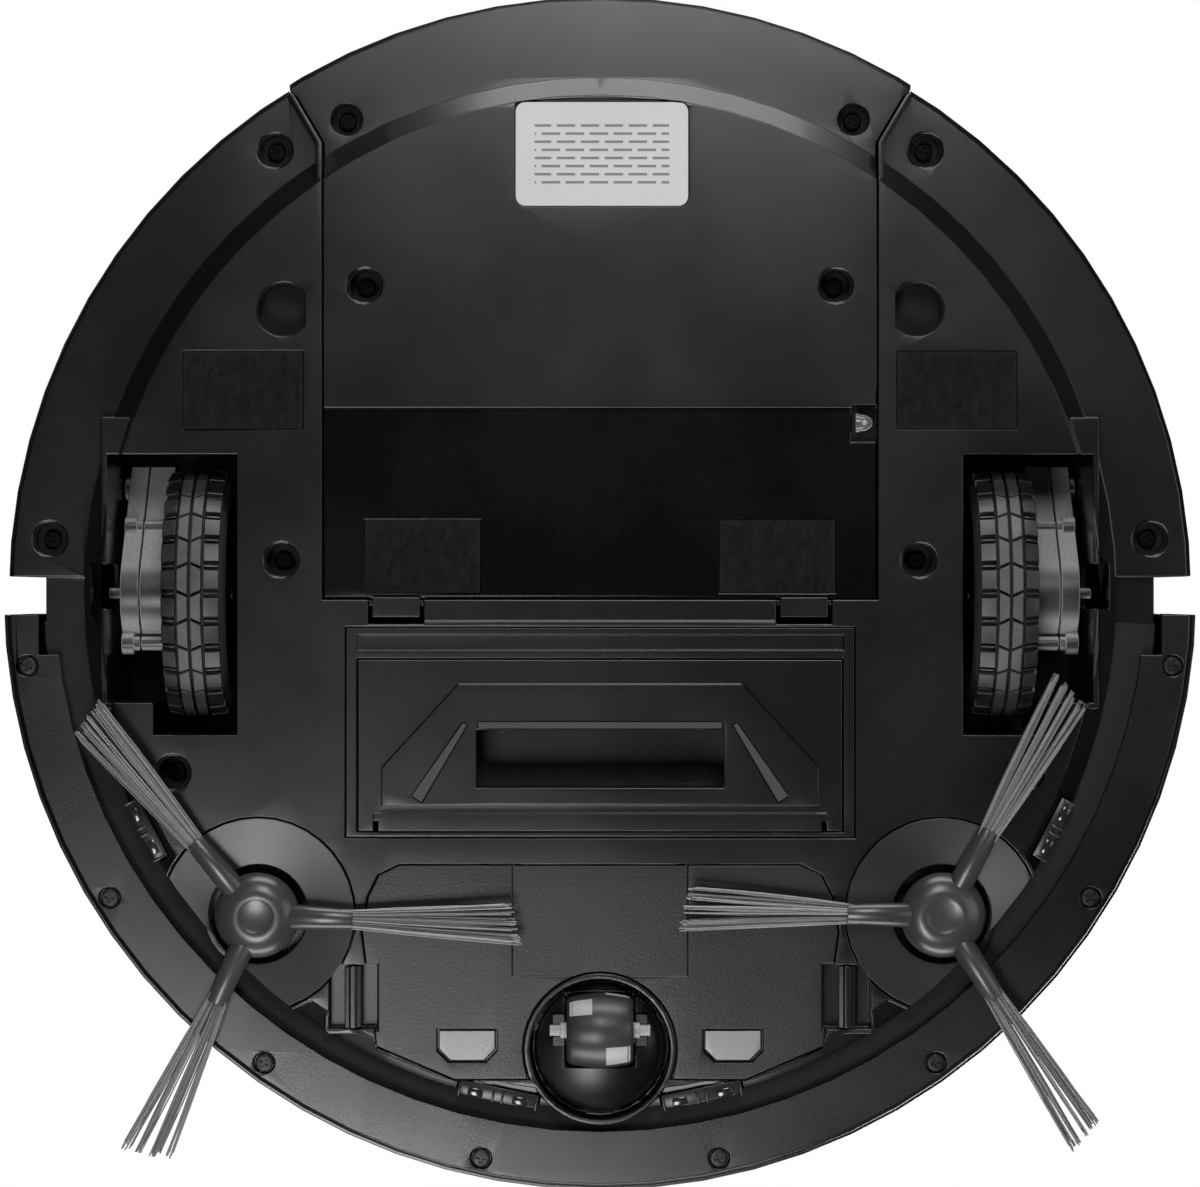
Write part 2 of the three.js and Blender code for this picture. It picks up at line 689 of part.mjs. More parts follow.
function binLid() {
  const { wall, frontY, topZ, flareY, flareWidth, halfWidth } = bin;
  const gap = seat * 4;
  const outline = mirrored([
    [halfWidth - wall - gap, frontY + wall + gap], [halfWidth - wall - gap, flareY - 2],
    [flareWidth - wall - 3, flareY + 12], [flareWidth - wall - 1, flareY + 108],
  ]);
  return prism(outline, topZ - 2.4, topZ - 0.2).intersect(disc(bin.radius - 10, 0, above));
}

function binPanel() {
  const { halfWidth, frontY, panelFront, panelRearY, panelZ, panelThickness } = bin;
  let panel = block(-halfWidth + seat, halfWidth - seat, frontY + panelFront, panelRearY,
    panelZ, panelZ + panelThickness);
  panel = panel.subtract(block(-led.x - 3.4, -led.x + 3.4, led.y - 5, led.y + 9, 0, above));
  return panel.subtract(padRecess(binPad, 1, panelZ)).subtract(padRecess(binPad, -1, panelZ));
}

function padBlock(spot, side, underZ) {
  const gap = 0.1;
  const x = side * spot.x;
  return block(x - spot.width / 2 + gap, x + spot.width / 2 - gap, spot.y - spot.length / 2 + gap,
    spot.y + spot.length / 2 - gap, underZ + pad.sunk - seat - pad.thickness, underZ + pad.sunk - seat);
}

// A tongue at the bin's front edge that holds it in a pocket of the base.
function binClip(side) {
  const { x, width, reach, thickness } = clip;
  const low = body.floorZ + 0.3;
  return block(side * (x - width / 2), side * (x + width / 2), bin.frontY - reach,
    bin.frontY + bin.panelFront - seat, low, low + thickness);
}

function binFilter() {
  const { halfWidth, frontY, rearY, lowZ } = filter;
  return block(-halfWidth, halfWidth, frontY, rearY, lowZ, bin.topZ - 5);
}

function binLed() {
  const { x, y, z, radius, length } = led;
  return rod(radius, -x - length / 2, -x + length / 2, y, z, 12);
}

function releaseButtonSolid() {
  const { halfWidth, z, half, depth } = releaseButton;
  return ring(bin.radius - 0.2 - depth, bin.radius - 0.2, z - half, z + half)
    .intersect(block(-halfWidth, halfWidth, 0, beyond, 0, above));
}

// ---------- suction mouth ----------
function suctionFrame() {
  const { halfWidth, rearY, frontY, plate } = mouth;
  const gap = 0.25;
  const z0 = body.floorZ + 0.2;
  const outer = block(-halfWidth + gap, halfWidth - gap, frontY + gap, rearY - gap, z0, z0 + 4);
  const hole = block(-plate.halfWidth - clearance, plate.halfWidth + clearance,
    plate.frontY - clearance, plate.rearY + clearance, z0 - 1, z0 + 20);
  const rail = block(-halfWidth + 3, halfWidth - 3, rearY - 2.2, plate.rearY + 2.6, z0 - 1, z0 + 1.4);
  return outer.subtract(hole).subtract(rail);
}

function suctionPlate() {
  const { plate, raised, slot } = mouth;
  const z0 = body.floorZ - plate.proud;
  const flat = block(-plate.halfWidth, plate.halfWidth, plate.frontY, plate.rearY, z0, z0 + plate.thickness);
  const hexagon = prism(mirrored([[raised.side, raised.frontY], [raised.side, raised.sideY],
    [raised.shoulder, raised.rearY]]), z0 - raised.height, z0 + 0.5);
  const bar = block(-plate.halfWidth + 4, plate.halfWidth - 4, plate.frontY, plate.frontY + 4.6,
    z0 - 0.8, z0 + 0.5);
  const hole = block(-slot.halfWidth, slot.halfWidth, slot.frontY, slot.rearY, 0, above);
  const notches = [1, -1].map((side) => block(side * (plate.halfWidth - 5.2), side * (plate.halfWidth - 4),
    plate.frontY - 1, plate.frontY + 2.6, 0, above));
  const seats = [1, -1].map((side) => sided(vanePrism(0.1, 0, above), side));
  return union([flat, hexagon, bar])
    .subtract(union([hole, ...notches, ...seats, bladeBlock(0.1, 0, above)]));
}

// A low angled vane beside the slot, wider at its outer end.
function vanePrism(gap, z0, z1) {
  const { innerX, outerX, rearY, frontY, innerWidth, outerWidth } = mouth.vane;
  return prism([[innerX - gap, rearY + gap], [outerX - gap, frontY - gap],
    [outerX + outerWidth + gap, frontY + 1.6 - gap], [innerX + innerWidth + gap, rearY + 0.6 + gap]], z0, z1);
}

// The lowest face of the plate's raised middle.
function raisedLow() {
  return body.floorZ - mouth.plate.proud - mouth.raised.height;
}

function suctionFin(side) {
  return sided(vanePrism(0, raisedLow() - 1.2, raisedLow() + 3), side);
}

// The rubber lip along the rear edge of the slot.
function bladeBlock(gap, z0, z1) {
  const { slot } = mouth;
  return block(-slot.halfWidth + 0.6 - gap, slot.halfWidth - 0.6 + gap, slot.rearY + 0.4 - gap,
    slot.rearY + 2 + gap, z0, z1);
}

function suctionDuct() {
  const { slot, duct } = mouth;
  const { wall, lowZ: low, highZ: high } = duct;
  const half = slot.halfWidth + wall + 0.6;
  const rear = bin.frontY - clearance - well.wall - 0.3;
  const outer = block(-half, half, slot.frontY - wall, rear, low, high);
  const fall = block(-half + wall, half - wall, slot.frontY, slot.rearY, low - 1, high - wall);
  const run = block(-half + wall, half - wall, slot.frontY, rear + 1, low + wall + 1.4, high - wall);
  return outer.subtract(fall.add(run));
}

// ---------- battery ----------
function batteryHatch() {
  const { thickness, inset, rearY } = hatch;
  const z0 = body.floorZ;
  let made = hatchSolid(z0, z0 + thickness);
  made = made.add(hatchTabs());
  made = made.subtract(block(-inset.halfWidth, inset.halfWidth, inset.frontY, rearY + 1,
    0, z0 + inset.depth));
  const halfLatch = latch.length / 2 + 0.8;
  for (const side of [1, -1]) {
    made = made.subtract(sided(prism(contactOutline(0.5), 0, above), side));
    made = made.subtract(block(side * (latch.x - latch.pocket / 2 - 0.4), side * beyond,
      latch.y - halfLatch, latch.y + halfLatch, 0, above));
  }
  return largest(made);
}

// A charging contact, with its two front corners cut.
function contactOutline(gap = 0) {
  const { x, y, width, length, corner } = contact;
  const half = width / 2 + gap;
  const low = y - length / 2 - gap;
  const high = y + length / 2 + gap;
  return [[x - half, high], [x - half, low + corner], [x - half + corner, low],
    [x + half - corner, low], [x + half, low + corner], [x + half, high]];
}

function chargeContact(side) {
  const high = body.floorZ + hatch.thickness;
  return sided(prism(contactOutline(), high - contact.thickness, high), side);
}

function hatchLatch(side) {
  const { x, y, length, width, thickness } = latch;
  const low = body.floorZ + 0.4;
  const tab = block(x - width / 2, x + width / 2, y - length / 2, y + length / 2, low, low + thickness);
  const grip = block(x - width / 2 + 1.4, x + width / 2 - 1.4, y - length / 2, y + length / 2,
    low - 0.6, low + 1);
  return sided(tab.add(grip), side);
}

function batteryPack() {
  const { halfWidth, frontY, rearY, lowZ, height } = battery;
  return block(-halfWidth, halfWidth, frontY, rearY, lowZ, lowZ + height);
}

// ---------- side brushes ----------
function brushDish(side) {
  const { x, y, holeRadius, dishRadius } = brush;
  const z0 = body.floorZ;
  const dish = turned([[holeRadius + 0.3, z0 + 1.2], [dishRadius, z0 - 0.2], [dishRadius, z0 + 1],
    [holeRadius + 0.3, z0 + 2.4], [holeRadius + 0.3, z0 + 1.2]], side * x, y, 36);
  return dish.intersect(disc(body.stepOuter - 0.3, 0, above));
}

function armAngles(side) {
  return brush.arms[side > 0 ? 'left' : 'right'].map((angle) => THREE.MathUtils.degToRad(angle));
}

// A holder tube that leaves the hub and slopes down to the floor.
function holder(angle, side) {
  const { x, y, holderLength, holderRadius, armZ, armSlope } = brush;
  const start = 6;
  const geometry = new THREE.CylinderGeometry(holderRadius.tip, holderRadius.root, holderLength - start, 8);
  geometry.rotateZ(-Math.PI / 2);
  geometry.translate((holderLength + start) / 2, 0, 0);
  geometry.rotateY(THREE.MathUtils.degToRad(armSlope));
  geometry.rotateZ(angle);
  geometry.translate(side * x, y, armZ);
  return solid(geometry);
}

function brushHub(side) {
  const { x, y, hubRadius } = brush;
  const dome = turned([[0, 2.6], [hubRadius - 5, 2.8], [hubRadius - 1.4, 4], [hubRadius, 5.6],
    [hubRadius, 9.2], [hubRadius - 2, 10.4], [4, 10.4], [4, 30], [0, 30]], side * x, y, 24);
  const arms = armAngles(side).map((angle) => holder(angle, side));
  return union([dome, ...arms]);
}

// A fan of bristles, as one flat tapered block.
function brushTuft(angle, side) {
  const { x, y, tuftLength, tuftHalf, tuftThickness, holderLength, armZ, armSlope } = brush;
  const start = holderLength + 0.4;
  const outline = [[start, -tuftHalf.root], [tuftLength, -tuftHalf.tip], [tuftLength, tuftHalf.tip],
    [start, tuftHalf.root]];
  const shape = new THREE.ExtrudeGeometry(polygon(outline), { depth: tuftThickness, bevelEnabled: false });
  shape.translate(0, 0, -tuftThickness / 2);
  shape.rotateY(THREE.MathUtils.degToRad(armSlope + 0.2));
  shape.rotateZ(angle);
  shape.translate(side * x, y, armZ);
  return solid(shape);
}

function brushGearbox(side) {
  const { x, y } = brush;
  const holed = disc(brush.holeRadius + 3, 22.4, 40, side * x, y, 32)
    .add(block(side * (x - 14), side * (x - 34), y - 11, y + 11, 24, 44));
  return holed.subtract(disc(4.4, 0, 34, side * x, y, small));
}

// ---------- drive wheels ----------
// A drum round the wheel's axle, with an arm that climbs backwards at 45 degrees.
function driveGearbox(side) {
  const { gearboxX, gearboxWidth, gearbox, gearboxBosses, boss } = drive;
  const { pivotY, pivotZ, radius, axleRadius } = drive;
  const x1 = gearboxX + gearboxWidth;
  const arm = new THREE.BoxGeometry(gearboxWidth, gearbox.length, gearbox.radius * 2);
  arm.translate(0, gearbox.length / 2, 0);
  arm.rotateX(Math.PI / 4);
  arm.translate(gearboxX + gearboxWidth / 2, 0, radius);
  const pieces = [
    rod(gearbox.radius, gearboxX, x1, 0, radius, 40),
    solid(arm).intersect(block(gearboxX, x1, -beyond, beyond, 0, gearbox.topZ)),
    rod(axleRadius, gearboxX - 12, gearboxX + 1, 0, radius),
    rod(gearbox.stub, x1 - 1, x1 + gearbox.stubLength, 0, radius, 12),
    rod(axleRadius, x1 - 1, x1 + 1.4, pivotY, pivotZ),
  ];
  for (const [y, rise] of gearboxBosses) {
    pieces.push(rod(boss.radius, gearboxX, x1 - 0.4, y, radius + rise, 12));
    pieces.push(rod(boss.capRadius, x1 - boss.capLength, x1, y, radius + rise, small));
  }
  return sided(union(pieces), side);
}

function driveRim(side) {
  const { radius, tyreWidth, centreX, rimRadius, axleRadius } = drive;
  const half = tyreWidth / 2 - 0.8;
  const bore = axleRadius + clearance;
  const points = [[bore, -half], [9, -half], [11, -half + 3], [rimRadius - 3, -half + 3],
    [rimRadius - 1.4, -half], [rimRadius, -half], [rimRadius, half], [rimRadius - 1.4, half],
    [rimRadius - 3, half - 1.6], [bore, half - 1.6], [bore, -half]];
  return sided(alongX(turned(points, 0, 0, 32), centreX, radius), side);
}

// Turns a piece made about +Z so that its axis lies along X, at a height.
function alongX(manifold, x, z) {
  return manifold.rotate([0, 90, 0]).translate([x, 0, z]);
}

function driveTyre(side) {
  const { radius, tyreWidth, centreX, rimRadius } = drive;
  const half = tyreWidth / 2;
  const inner = rimRadius + seat * 2;
  const tyre = turned([[inner, -half + 0.6], [radius - 2.4, -half], [radius - 0.8, -half + 0.8],
    [radius, -half + 2.6], [radius, half - 2.6], [radius - 0.8, half - 0.8], [radius - 2.4, half],
    [inner, half - 0.6], [inner, -half + 0.6]], 0, 0, 48);
  return sided(alongX(tyre, centreX, radius), side);
}

// ---------- caster ----------
// A dome on a stem with two cheeks that hold the wheel's axle.
function casterSwivel() {
  const { y, swivelRadius, wheelRadius, wheelWidth, trail, axleRadius, axleLength, stemRadius } = caster;
  const axleY = y + trail;
  const room = wheelWidth / 2 + 0.6;
  const reach = wheelRadius + 0.9;
  const dome = turned([[0, 13], [swivelRadius - 0.8, 13], [swivelRadius, 14], [swivelRadius - 0.6, 18],
    [swivelRadius - 5, 22.6], [swivelRadius - 10, 24.8], [stemRadius, 24.8], [stemRadius, 34],
    [0, 34]], 0, y, 32);
  const arms = [1, -1].map((side) => block(side * room, side * (room + 3), axleY - 4, axleY + 4,
    wheelRadius - 3, 15));
  const wheelRoom = rod(reach, -room, room, axleY, wheelRadius, 24);
  const under = block(-room, room, axleY - reach, axleY + reach, 0, wheelRadius);
  const half = axleLength / 2 + 0.4;
  const pin = rod(axleRadius + 0.2, -half, half, axleY, wheelRadius);
  return largest(dome.add(union(arms)).subtract(union([wheelRoom, under, pin])));
}

function casterWheel() {
  const { y, wheelRadius, wheelWidth, trail, axleRadius } = caster;
  const half = wheelWidth / 2;
  const bore = axleRadius + clearance;
  const barrel = turned([[bore, -half], [wheelRadius - 1.9, -half], [wheelRadius - 0.8, -half + 2],
    [wheelRadius, -half + 6], [wheelRadius, half - 6], [wheelRadius - 0.8, half - 2],
    [wheelRadius - 1.9, half], [bore, half], [bore, -half]], 0, 0, 32);
  return barrel.rotate([0, 90, 0]).translate([0, y + trail, wheelRadius]);
}

function casterAxle() {
  const { y, trail, axleRadius, axleLength, wheelRadius } = caster;
  return rod(axleRadius, -axleLength / 2, axleLength / 2, y + trail, wheelRadius);
}

// ---------- inner parts ----------
function mainBoard() {
  const { halfWidth, frontY, rearY, drop, thickness } = board;
  const low = body.height - drop;
  return block(-halfWidth, halfWidth, frontY, rearY, low, low + thickness);
}

function suctionFan() {
  const { x, y, radius, eyeRadius, lowZ, shoulderZ, highZ } = fan;
  const scroll = turned([[0, lowZ], [radius, lowZ], [radius, shoulderZ], [eyeRadius, highZ], [0, highZ]],
    x, y, 32);
  return scroll.add(block(x - 26, x, y - radius + 0.1, y - 4, lowZ + 1, shoulderZ));
}

function cliffSensor(spot, side) {
  const z0 = body.floorZ + 1.2;
  return sensorBlock(spot, side, 0, z0).intersect(disc(body.stepOuter + 0.4, 0, above));
}

// ---------- assembly ----------
place('chassis_base', chassisBase(), colour.shell, 0.45);
place('top_cover', topCover(), colour.shell, 0.45);
place('top_deck', topDeck(), colour.gloss, 0.15);
place('power_button', powerButton(), colour.grey, 0.35, 0.3);
place('bumper_shell', bumperShell(), colour.shell, 0.4);
place('bumper_skirt', bumperSkirt(), colour.shell, 0.5);
place('bumper_window', bumperWindow(), colour.gloss, 0.1);
place('dust_bin', binTub(), colour.shell, 0.45);
place('dust_bin_lid', binLid(), colour.inner, 0.5);
place('dust_bin_panel', binPanel(), colour.inner, 0.6);
place('dust_bin_filter', binFilter(), colour.paper, 0.9);
place('dust_bin_led', binLed(), colour.translucent, 0.1);
place('release_button', releaseButtonSolid(), colour.grey, 0.35);
place('rating_label', ratingLabel(), colour.paper, 0.5);
place('suction_frame', suctionFrame(), colour.inner, 0.5);
place('suction_plate', suctionPlate(), colour.shell, 0.5);
place('suction_duct', suctionDuct(), colour.inner, 0.6);
place('suction_blade', bladeBlock(0, raisedLow() - 1, raisedLow() + 3.5), colour.grey, 0.7);
place('battery_hatch', batteryHatch(), colour.shell, 0.5);
place('battery_pack', batteryPack(), colour.grey, 0.5);
place('main_board', mainBoard(), 0x1d4d33, 0.6);
place('suction_fan', suctionFan(), colour.inner, 0.5);
place('caster_swivel', casterSwivel(), colour.inner, 0.35);
place('caster_wheel', casterWheel(), colour.rubber, 0.3);
place('caster_axle', casterAxle(), colour.metal, 0.3, 1);

for (const [name, side] of sides) {
  place(`${name}_base_pad`, padBlock(basePad, side, body.floorZ), colour.pile, 1);
  place(`${name}_bin_pad`, padBlock(binPad, side, bin.panelZ), colour.pile, 1);
  place(`${name}_bin_clip`, binClip(side), colour.shell, 0.4);
  place(`${name}_suction_fin`, suctionFin(side), colour.rubber, 0.8);
  place(`${name}_hatch_latch`, hatchLatch(side), colour.shell, 0.4);
  place(`${name}_charge_contact`, chargeContact(side), colour.metal, 0.3, 1);
  place(`${name}_brush_dish`, brushDish(side), colour.shell, 0.5);
  place(`${name}_brush_gearbox`, brushGearbox(side), colour.inner, 0.5);
  place(`${name}_brush_hub`, brushHub(side), colour.translucent, 0.4);
  armAngles(side).forEach((angle, index) => {
    place(`${name}_brush_tuft_${index + 1}`, brushTuft(angle, side), colour.grey, 0.7);
  });
  place(`${name}_drive_gearbox`, driveGearbox(side), colour.grey, 0.35);
  place(`${name}_drive_rim`, driveRim(side), colour.inner, 0.4);
  place(`${name}_drive_tyre`, driveTyre(side), colour.rubber, 0.8);
  for (const spot of sensorSpots) {
    place(`${name}_${spot.name}_cliff_sensor`, cliffSensor(spot, side), colour.gloss, 0.1);
  }
}

export default group;
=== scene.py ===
import json
import math
import random

import bmesh
import bpy
from mathutils import Matrix, Vector


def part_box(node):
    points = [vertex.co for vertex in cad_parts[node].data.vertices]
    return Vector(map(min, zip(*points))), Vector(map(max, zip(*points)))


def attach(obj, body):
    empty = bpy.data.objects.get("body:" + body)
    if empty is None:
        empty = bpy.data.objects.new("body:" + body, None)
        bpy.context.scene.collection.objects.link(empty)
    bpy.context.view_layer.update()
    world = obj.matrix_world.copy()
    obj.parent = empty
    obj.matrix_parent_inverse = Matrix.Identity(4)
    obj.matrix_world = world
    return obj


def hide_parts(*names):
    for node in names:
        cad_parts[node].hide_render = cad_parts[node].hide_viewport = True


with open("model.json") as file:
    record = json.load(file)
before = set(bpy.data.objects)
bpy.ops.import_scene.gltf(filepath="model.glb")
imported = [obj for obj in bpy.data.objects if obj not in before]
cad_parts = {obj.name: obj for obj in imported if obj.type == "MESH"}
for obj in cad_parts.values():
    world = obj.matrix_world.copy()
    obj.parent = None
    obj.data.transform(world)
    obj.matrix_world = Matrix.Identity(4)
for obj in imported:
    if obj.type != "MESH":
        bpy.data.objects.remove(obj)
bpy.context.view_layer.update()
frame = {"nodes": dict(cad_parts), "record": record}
record = frame["record"]
nodes = frame["nodes"]
scene = bpy.context.scene
mm = 0.001
down = Vector((0, 0, -1))
sides = {"left": 1, "right": -1}
bodyOf = {node: body for body, members in record["behaviour"]["bodies"].items() for node in members}
slotOf = {row["node"]: row["material_slot"] for row in record["subparts"]}
print("frame loaded:", len(nodes), "nodes")


# camera, light and floor
view = {
    "cameraZ": -1.0863,
    "lens": 127.1,
    "sensor": 36,
    "backdrop": 1.0,     # what the camera sees behind the robot
    "ambient": 0.012,    # what lights it from all round
}
scene.view_settings.view_transform = "Standard"
lamps = {   # place, energy in watts, size across and along, what it faces
    "rearPanel": ((-0.04, 0.56, -1.0), 4.6, (0.26, 0.5), "up"),
    "frontPanel": ((0.17, -0.46, -1.0), 4.8, (0.24, 0.42), "up"),
    "rightPanel": ((-0.9, 0.05, -0.75), 2.2, (0.5, 0.9), "robot"),
    "rearSide": ((-0.1, 1.2, -0.25), 9, (0.9, 0.5), "robot"),
    "frontSide": ((0.05, -1.2, -0.25), 9, (0.9, 0.5), "robot"),
    "topLamp": ((-0.9, -0.9, 1.3), 26, (0.9, 0.9), "robot"),
    "topFill": ((1.1, 0.7, 1.2), 12, (1.0, 1.0), "robot"),
}


def addCamera():
    data = bpy.data.cameras.new("mainCamera")
    data.lens = view["lens"]
    data.sensor_width = view["sensor"]
    data.clip_start = 0.05
    data.clip_end = 20
    camera = bpy.data.objects.new("mainCamera", data)
    scene.collection.objects.link(camera)
    turned = Matrix(((-1, 0, 0), (0, 1, 0), (0, 0, -1)))
    camera.matrix_world = Matrix.Translation((0, 0, view["cameraZ"])) @ turned.to_4x4()
    scene.camera = camera


def addLamp(name, place, energy, size, faces):
    data = bpy.data.lights.new(name, "AREA")
    data.shape = "RECTANGLE"
    data.energy = energy
    data.size, data.size_y = size
    lamp = bpy.data.objects.new(name, data)
    lamp.location = place
    back = Vector(place) if faces == "robot" else down
    lamp.rotation_euler = back.to_track_quat("Z", "Y").to_euler()
    scene.collection.objects.link(lamp)


def addWorld():
    world = bpy.data.worlds.new("studio")
    scene.world = world
    world.use_nodes = True
    tree = world.node_tree
    tree.nodes.clear()
    output = tree.nodes.new("ShaderNodeOutputWorld")
    mix = tree.nodes.new("ShaderNodeMixShader")
    path = tree.nodes.new("ShaderNodeLightPath")
    seen = tree.nodes.new("ShaderNodeBackground")
    seen.inputs["Color"].default_value = (view["backdrop"],) * 3 + (1,)
    around = tree.nodes.new("ShaderNodeBackground")
    around.inputs["Color"].default_value = (view["ambient"],) * 3 + (1,)
    tree.links.new(path.outputs["Is Camera Ray"], mix.inputs["Fac"])
    tree.links.new(around.outputs[0], mix.inputs[1])
    tree.links.new(seen.outputs[0], mix.inputs[2])
    tree.links.new(mix.outputs[0], output.inputs["Surface"])


floorLook = {"half": 4, "colour": (0.78, 0.78, 0.77, 1), "roughness": 0.75}


def addFloor():
    bm = bmesh.new()
    bmesh.ops.create_grid(bm, x_segments=1, y_segments=1, size=floorLook["half"])
    mesh = bpy.data.meshes.new("floor")
    bm.to_mesh(mesh)
    bm.free()
    floor = bpy.data.objects.new("floor", mesh)
    scene.collection.objects.link(floor)
    material = bpy.data.materials.new("paleFloor")
    material.use_nodes = True
    tree = material.node_tree
    shader = tree.nodes["Principled BSDF"]
    shader.inputs["Base Color"].default_value = floorLook["colour"]
    shader.inputs["Roughness"].default_value = floorLook["roughness"]
    clear = tree.nodes.new("ShaderNodeBsdfTransparent")
    side = tree.nodes.new("ShaderNodeNewGeometry")
    mix = tree.nodes.new("ShaderNodeMixShader")
    tree.links.new(side.outputs["Backfacing"], mix.inputs["Fac"])
    tree.links.new(shader.outputs[0], mix.inputs[1])
    tree.links.new(clear.outputs[0], mix.inputs[2])
    tree.links.new(mix.outputs[0], tree.nodes["Material Output"].inputs["Surface"])
    mesh.materials.append(material)
    floor.visible_diffuse = False   # from below it is clear and lets the lamps through
    floor.visible_glossy = False
    floor.visible_transmission = False
    floor.visible_shadow = False


addCamera()
for name, (place, energy, size, faces) in lamps.items():
    addLamp(name, place, energy, size, faces)
addWorld()
addFloor()
print("camera, lamps and floor are in")


# shared effects
def newGroup(name, inputs, outputs):
    group = bpy.data.node_groups.new(name, "ShaderNodeTree")
    for label, kind, value in inputs:
        socket = group.interface.new_socket(label, in_out="INPUT", socket_type=kind)
        if value is not None:
            socket.default_value = value
    for label, kind in outputs:
        group.interface.new_socket(label, in_out="OUTPUT", socket_type=kind)
    return group, group.nodes.new("NodeGroupInput"), group.nodes.new("NodeGroupOutput")


def mathNode(tree, operation, first, second=None):
    node = tree.nodes.new("ShaderNodeMath")
    node.operation = operation
    for index, value in enumerate((first, second)):
        if value is None:
            continue
        if isinstance(value, (int, float)):
            node.inputs[index].default_value = value
        else:
            tree.links.new(value, node.inputs[index])
    return node.outputs[0]


def noiseNode(tree, vector, scale, detail=2):
    node = tree.nodes.new("ShaderNodeTexNoise")
    node.inputs["Detail"].default_value = detail
    tree.links.new(vector, node.inputs["Vector"])
    if isinstance(scale, (int, float)):
        node.inputs["Scale"].default_value = scale
    else:
        tree.links.new(scale, node.inputs["Scale"])
    return node.outputs["Fac"]


def rangeNode(tree, value, low, high, toLow=0.0, toHigh=1.0):
    # eases from one value to another while the input goes from low to high
    node = tree.nodes.new("ShaderNodeMapRange")
    node.interpolation_type = "SMOOTHSTEP"
    tree.links.new(value, node.inputs["Value"])
    for label, number in zip(("From Min", "From Max", "To Min", "To Max"), (low, high, toLow, toHigh)):
        node.inputs[label].default_value = number
    return node.outputs["Result"]


def buildMouldGrain():
    # fine grain for the bump, and slow mottling for colour and roughness
    group, given, out = newGroup(
        "mouldGrain",
        [("Vector", "NodeSocketVector", None), ("Grain", "NodeSocketFloat", 2600.0),
         ("Mottle", "NodeSocketFloat", 24.0)],
        [("Height", "NodeSocketFloat"), ("Shade", "NodeSocketFloat")])
    fine = noiseNode(group, given.outputs["Vector"], given.outputs["Grain"], 3)
    slow = noiseNode(group, given.outputs["Vector"], given.outputs["Mottle"], 4)
    speck = rangeNode(group, fine, 0.36, 0.68)
    shade = mathNode(group, "ADD", mathNode(group, "MULTIPLY", slow, 0.75),
                     mathNode(group, "MULTIPLY", fine, 0.25))
    group.links.new(speck, out.inputs["Height"])
    group.links.new(rangeNode(group, shade, 0.33, 0.67), out.inputs["Shade"])
    return group


def buildEdgeWear():
    # convex edges, broken up by noise, where handling has polished them
    group, given, out = newGroup(
        "edgeWear",
        [("Vector", "NodeSocketVector", None), ("Break", "NodeSocketFloat", 260.0)],
        [("Mask", "NodeSocketFloat")])
    geometry = group.nodes.new("ShaderNodeNewGeometry")
    edge = rangeNode(group, geometry.outputs["Pointiness"], 0.52, 0.6)
    broken = noiseNode(group, given.outputs["Vector"], given.outputs["Break"], 3)
    patch = rangeNode(group, broken, 0.35, 0.65)
    group.links.new(mathNode(group, "MULTIPLY", edge, patch), out.inputs["Mask"])
    return group


def buildDust():
    # pale specks that settle on a floor robot
    group, given, out = newGroup(
        "floorDust",
        [("Vector", "NodeSocketVector", None), ("Specks", "NodeSocketFloat", 1500.0)],
        [("Mask", "NodeSocketFloat")])
    fine = noiseNode(group, given.outputs["Vector"], given.outputs["Specks"], 0)
    speck = rangeNode(group, fine, 0.71, 0.78)
    patch = rangeNode(group, noiseNode(group, given.outputs["Vector"], 30.0, 3), 0.4, 0.7)
    group.links.new(mathNode(group, "MULTIPLY", speck, patch), out.inputs["Mask"])
    return group


mouldGrain = buildMouldGrain()
edgeWear = buildEdgeWear()
floorDust = buildDust()


# materials
def groupNode(tree, group, vector, **values):
    node = tree.nodes.new("ShaderNodeGroup")
    node.node_tree = group
    tree.links.new(vector, node.inputs["Vector"])
    for label, value in values.items():
        node.inputs[label].default_value = value
    return node


def mixColour(tree, factor, first, second):
    node = tree.nodes.new("ShaderNodeMix")
    node.data_type = "RGBA"
    for socket, value in ((node.inputs[6], first), (node.inputs[7], second)):
        if isinstance(value, tuple):
            socket.default_value = value
        else:
            tree.links.new(value, socket)
    if isinstance(factor, (int, float)):
        node.inputs[0].default_value = factor
    else:
        tree.links.new(factor, node.inputs[0])
    return node.outputs[2]


def grey(value, tint=0.0):
    return (value, value, value * (1 + tint), 1)


def plainMaterial(name):
    material = bpy.data.materials.new(name)
    material.use_nodes = True
    tree = material.node_tree
    place = tree.nodes.new("ShaderNodeTexCoord").outputs["Object"]
    return material, tree, tree.nodes["Principled BSDF"], place


def addBump(tree, shader, height, strength, distance):
    bump = tree.nodes.new("ShaderNodeBump")
    bump.inputs["Strength"].default_value = strength
    bump.inputs["Distance"].default_value = distance
    tree.links.new(height, bump.inputs["Height"])
    tree.links.new(bump.outputs["Normal"], shader.inputs["Normal"])


moulded = {
    "tint": 0.02,                          # a trace of blue
    "mottle": 0.02,                        # how far the roughness strays
    "grainDepth": 0.00004,
    "coatRoughness": 0.15,
    "dustColour": (0.16, 0.155, 0.145, 1),
}


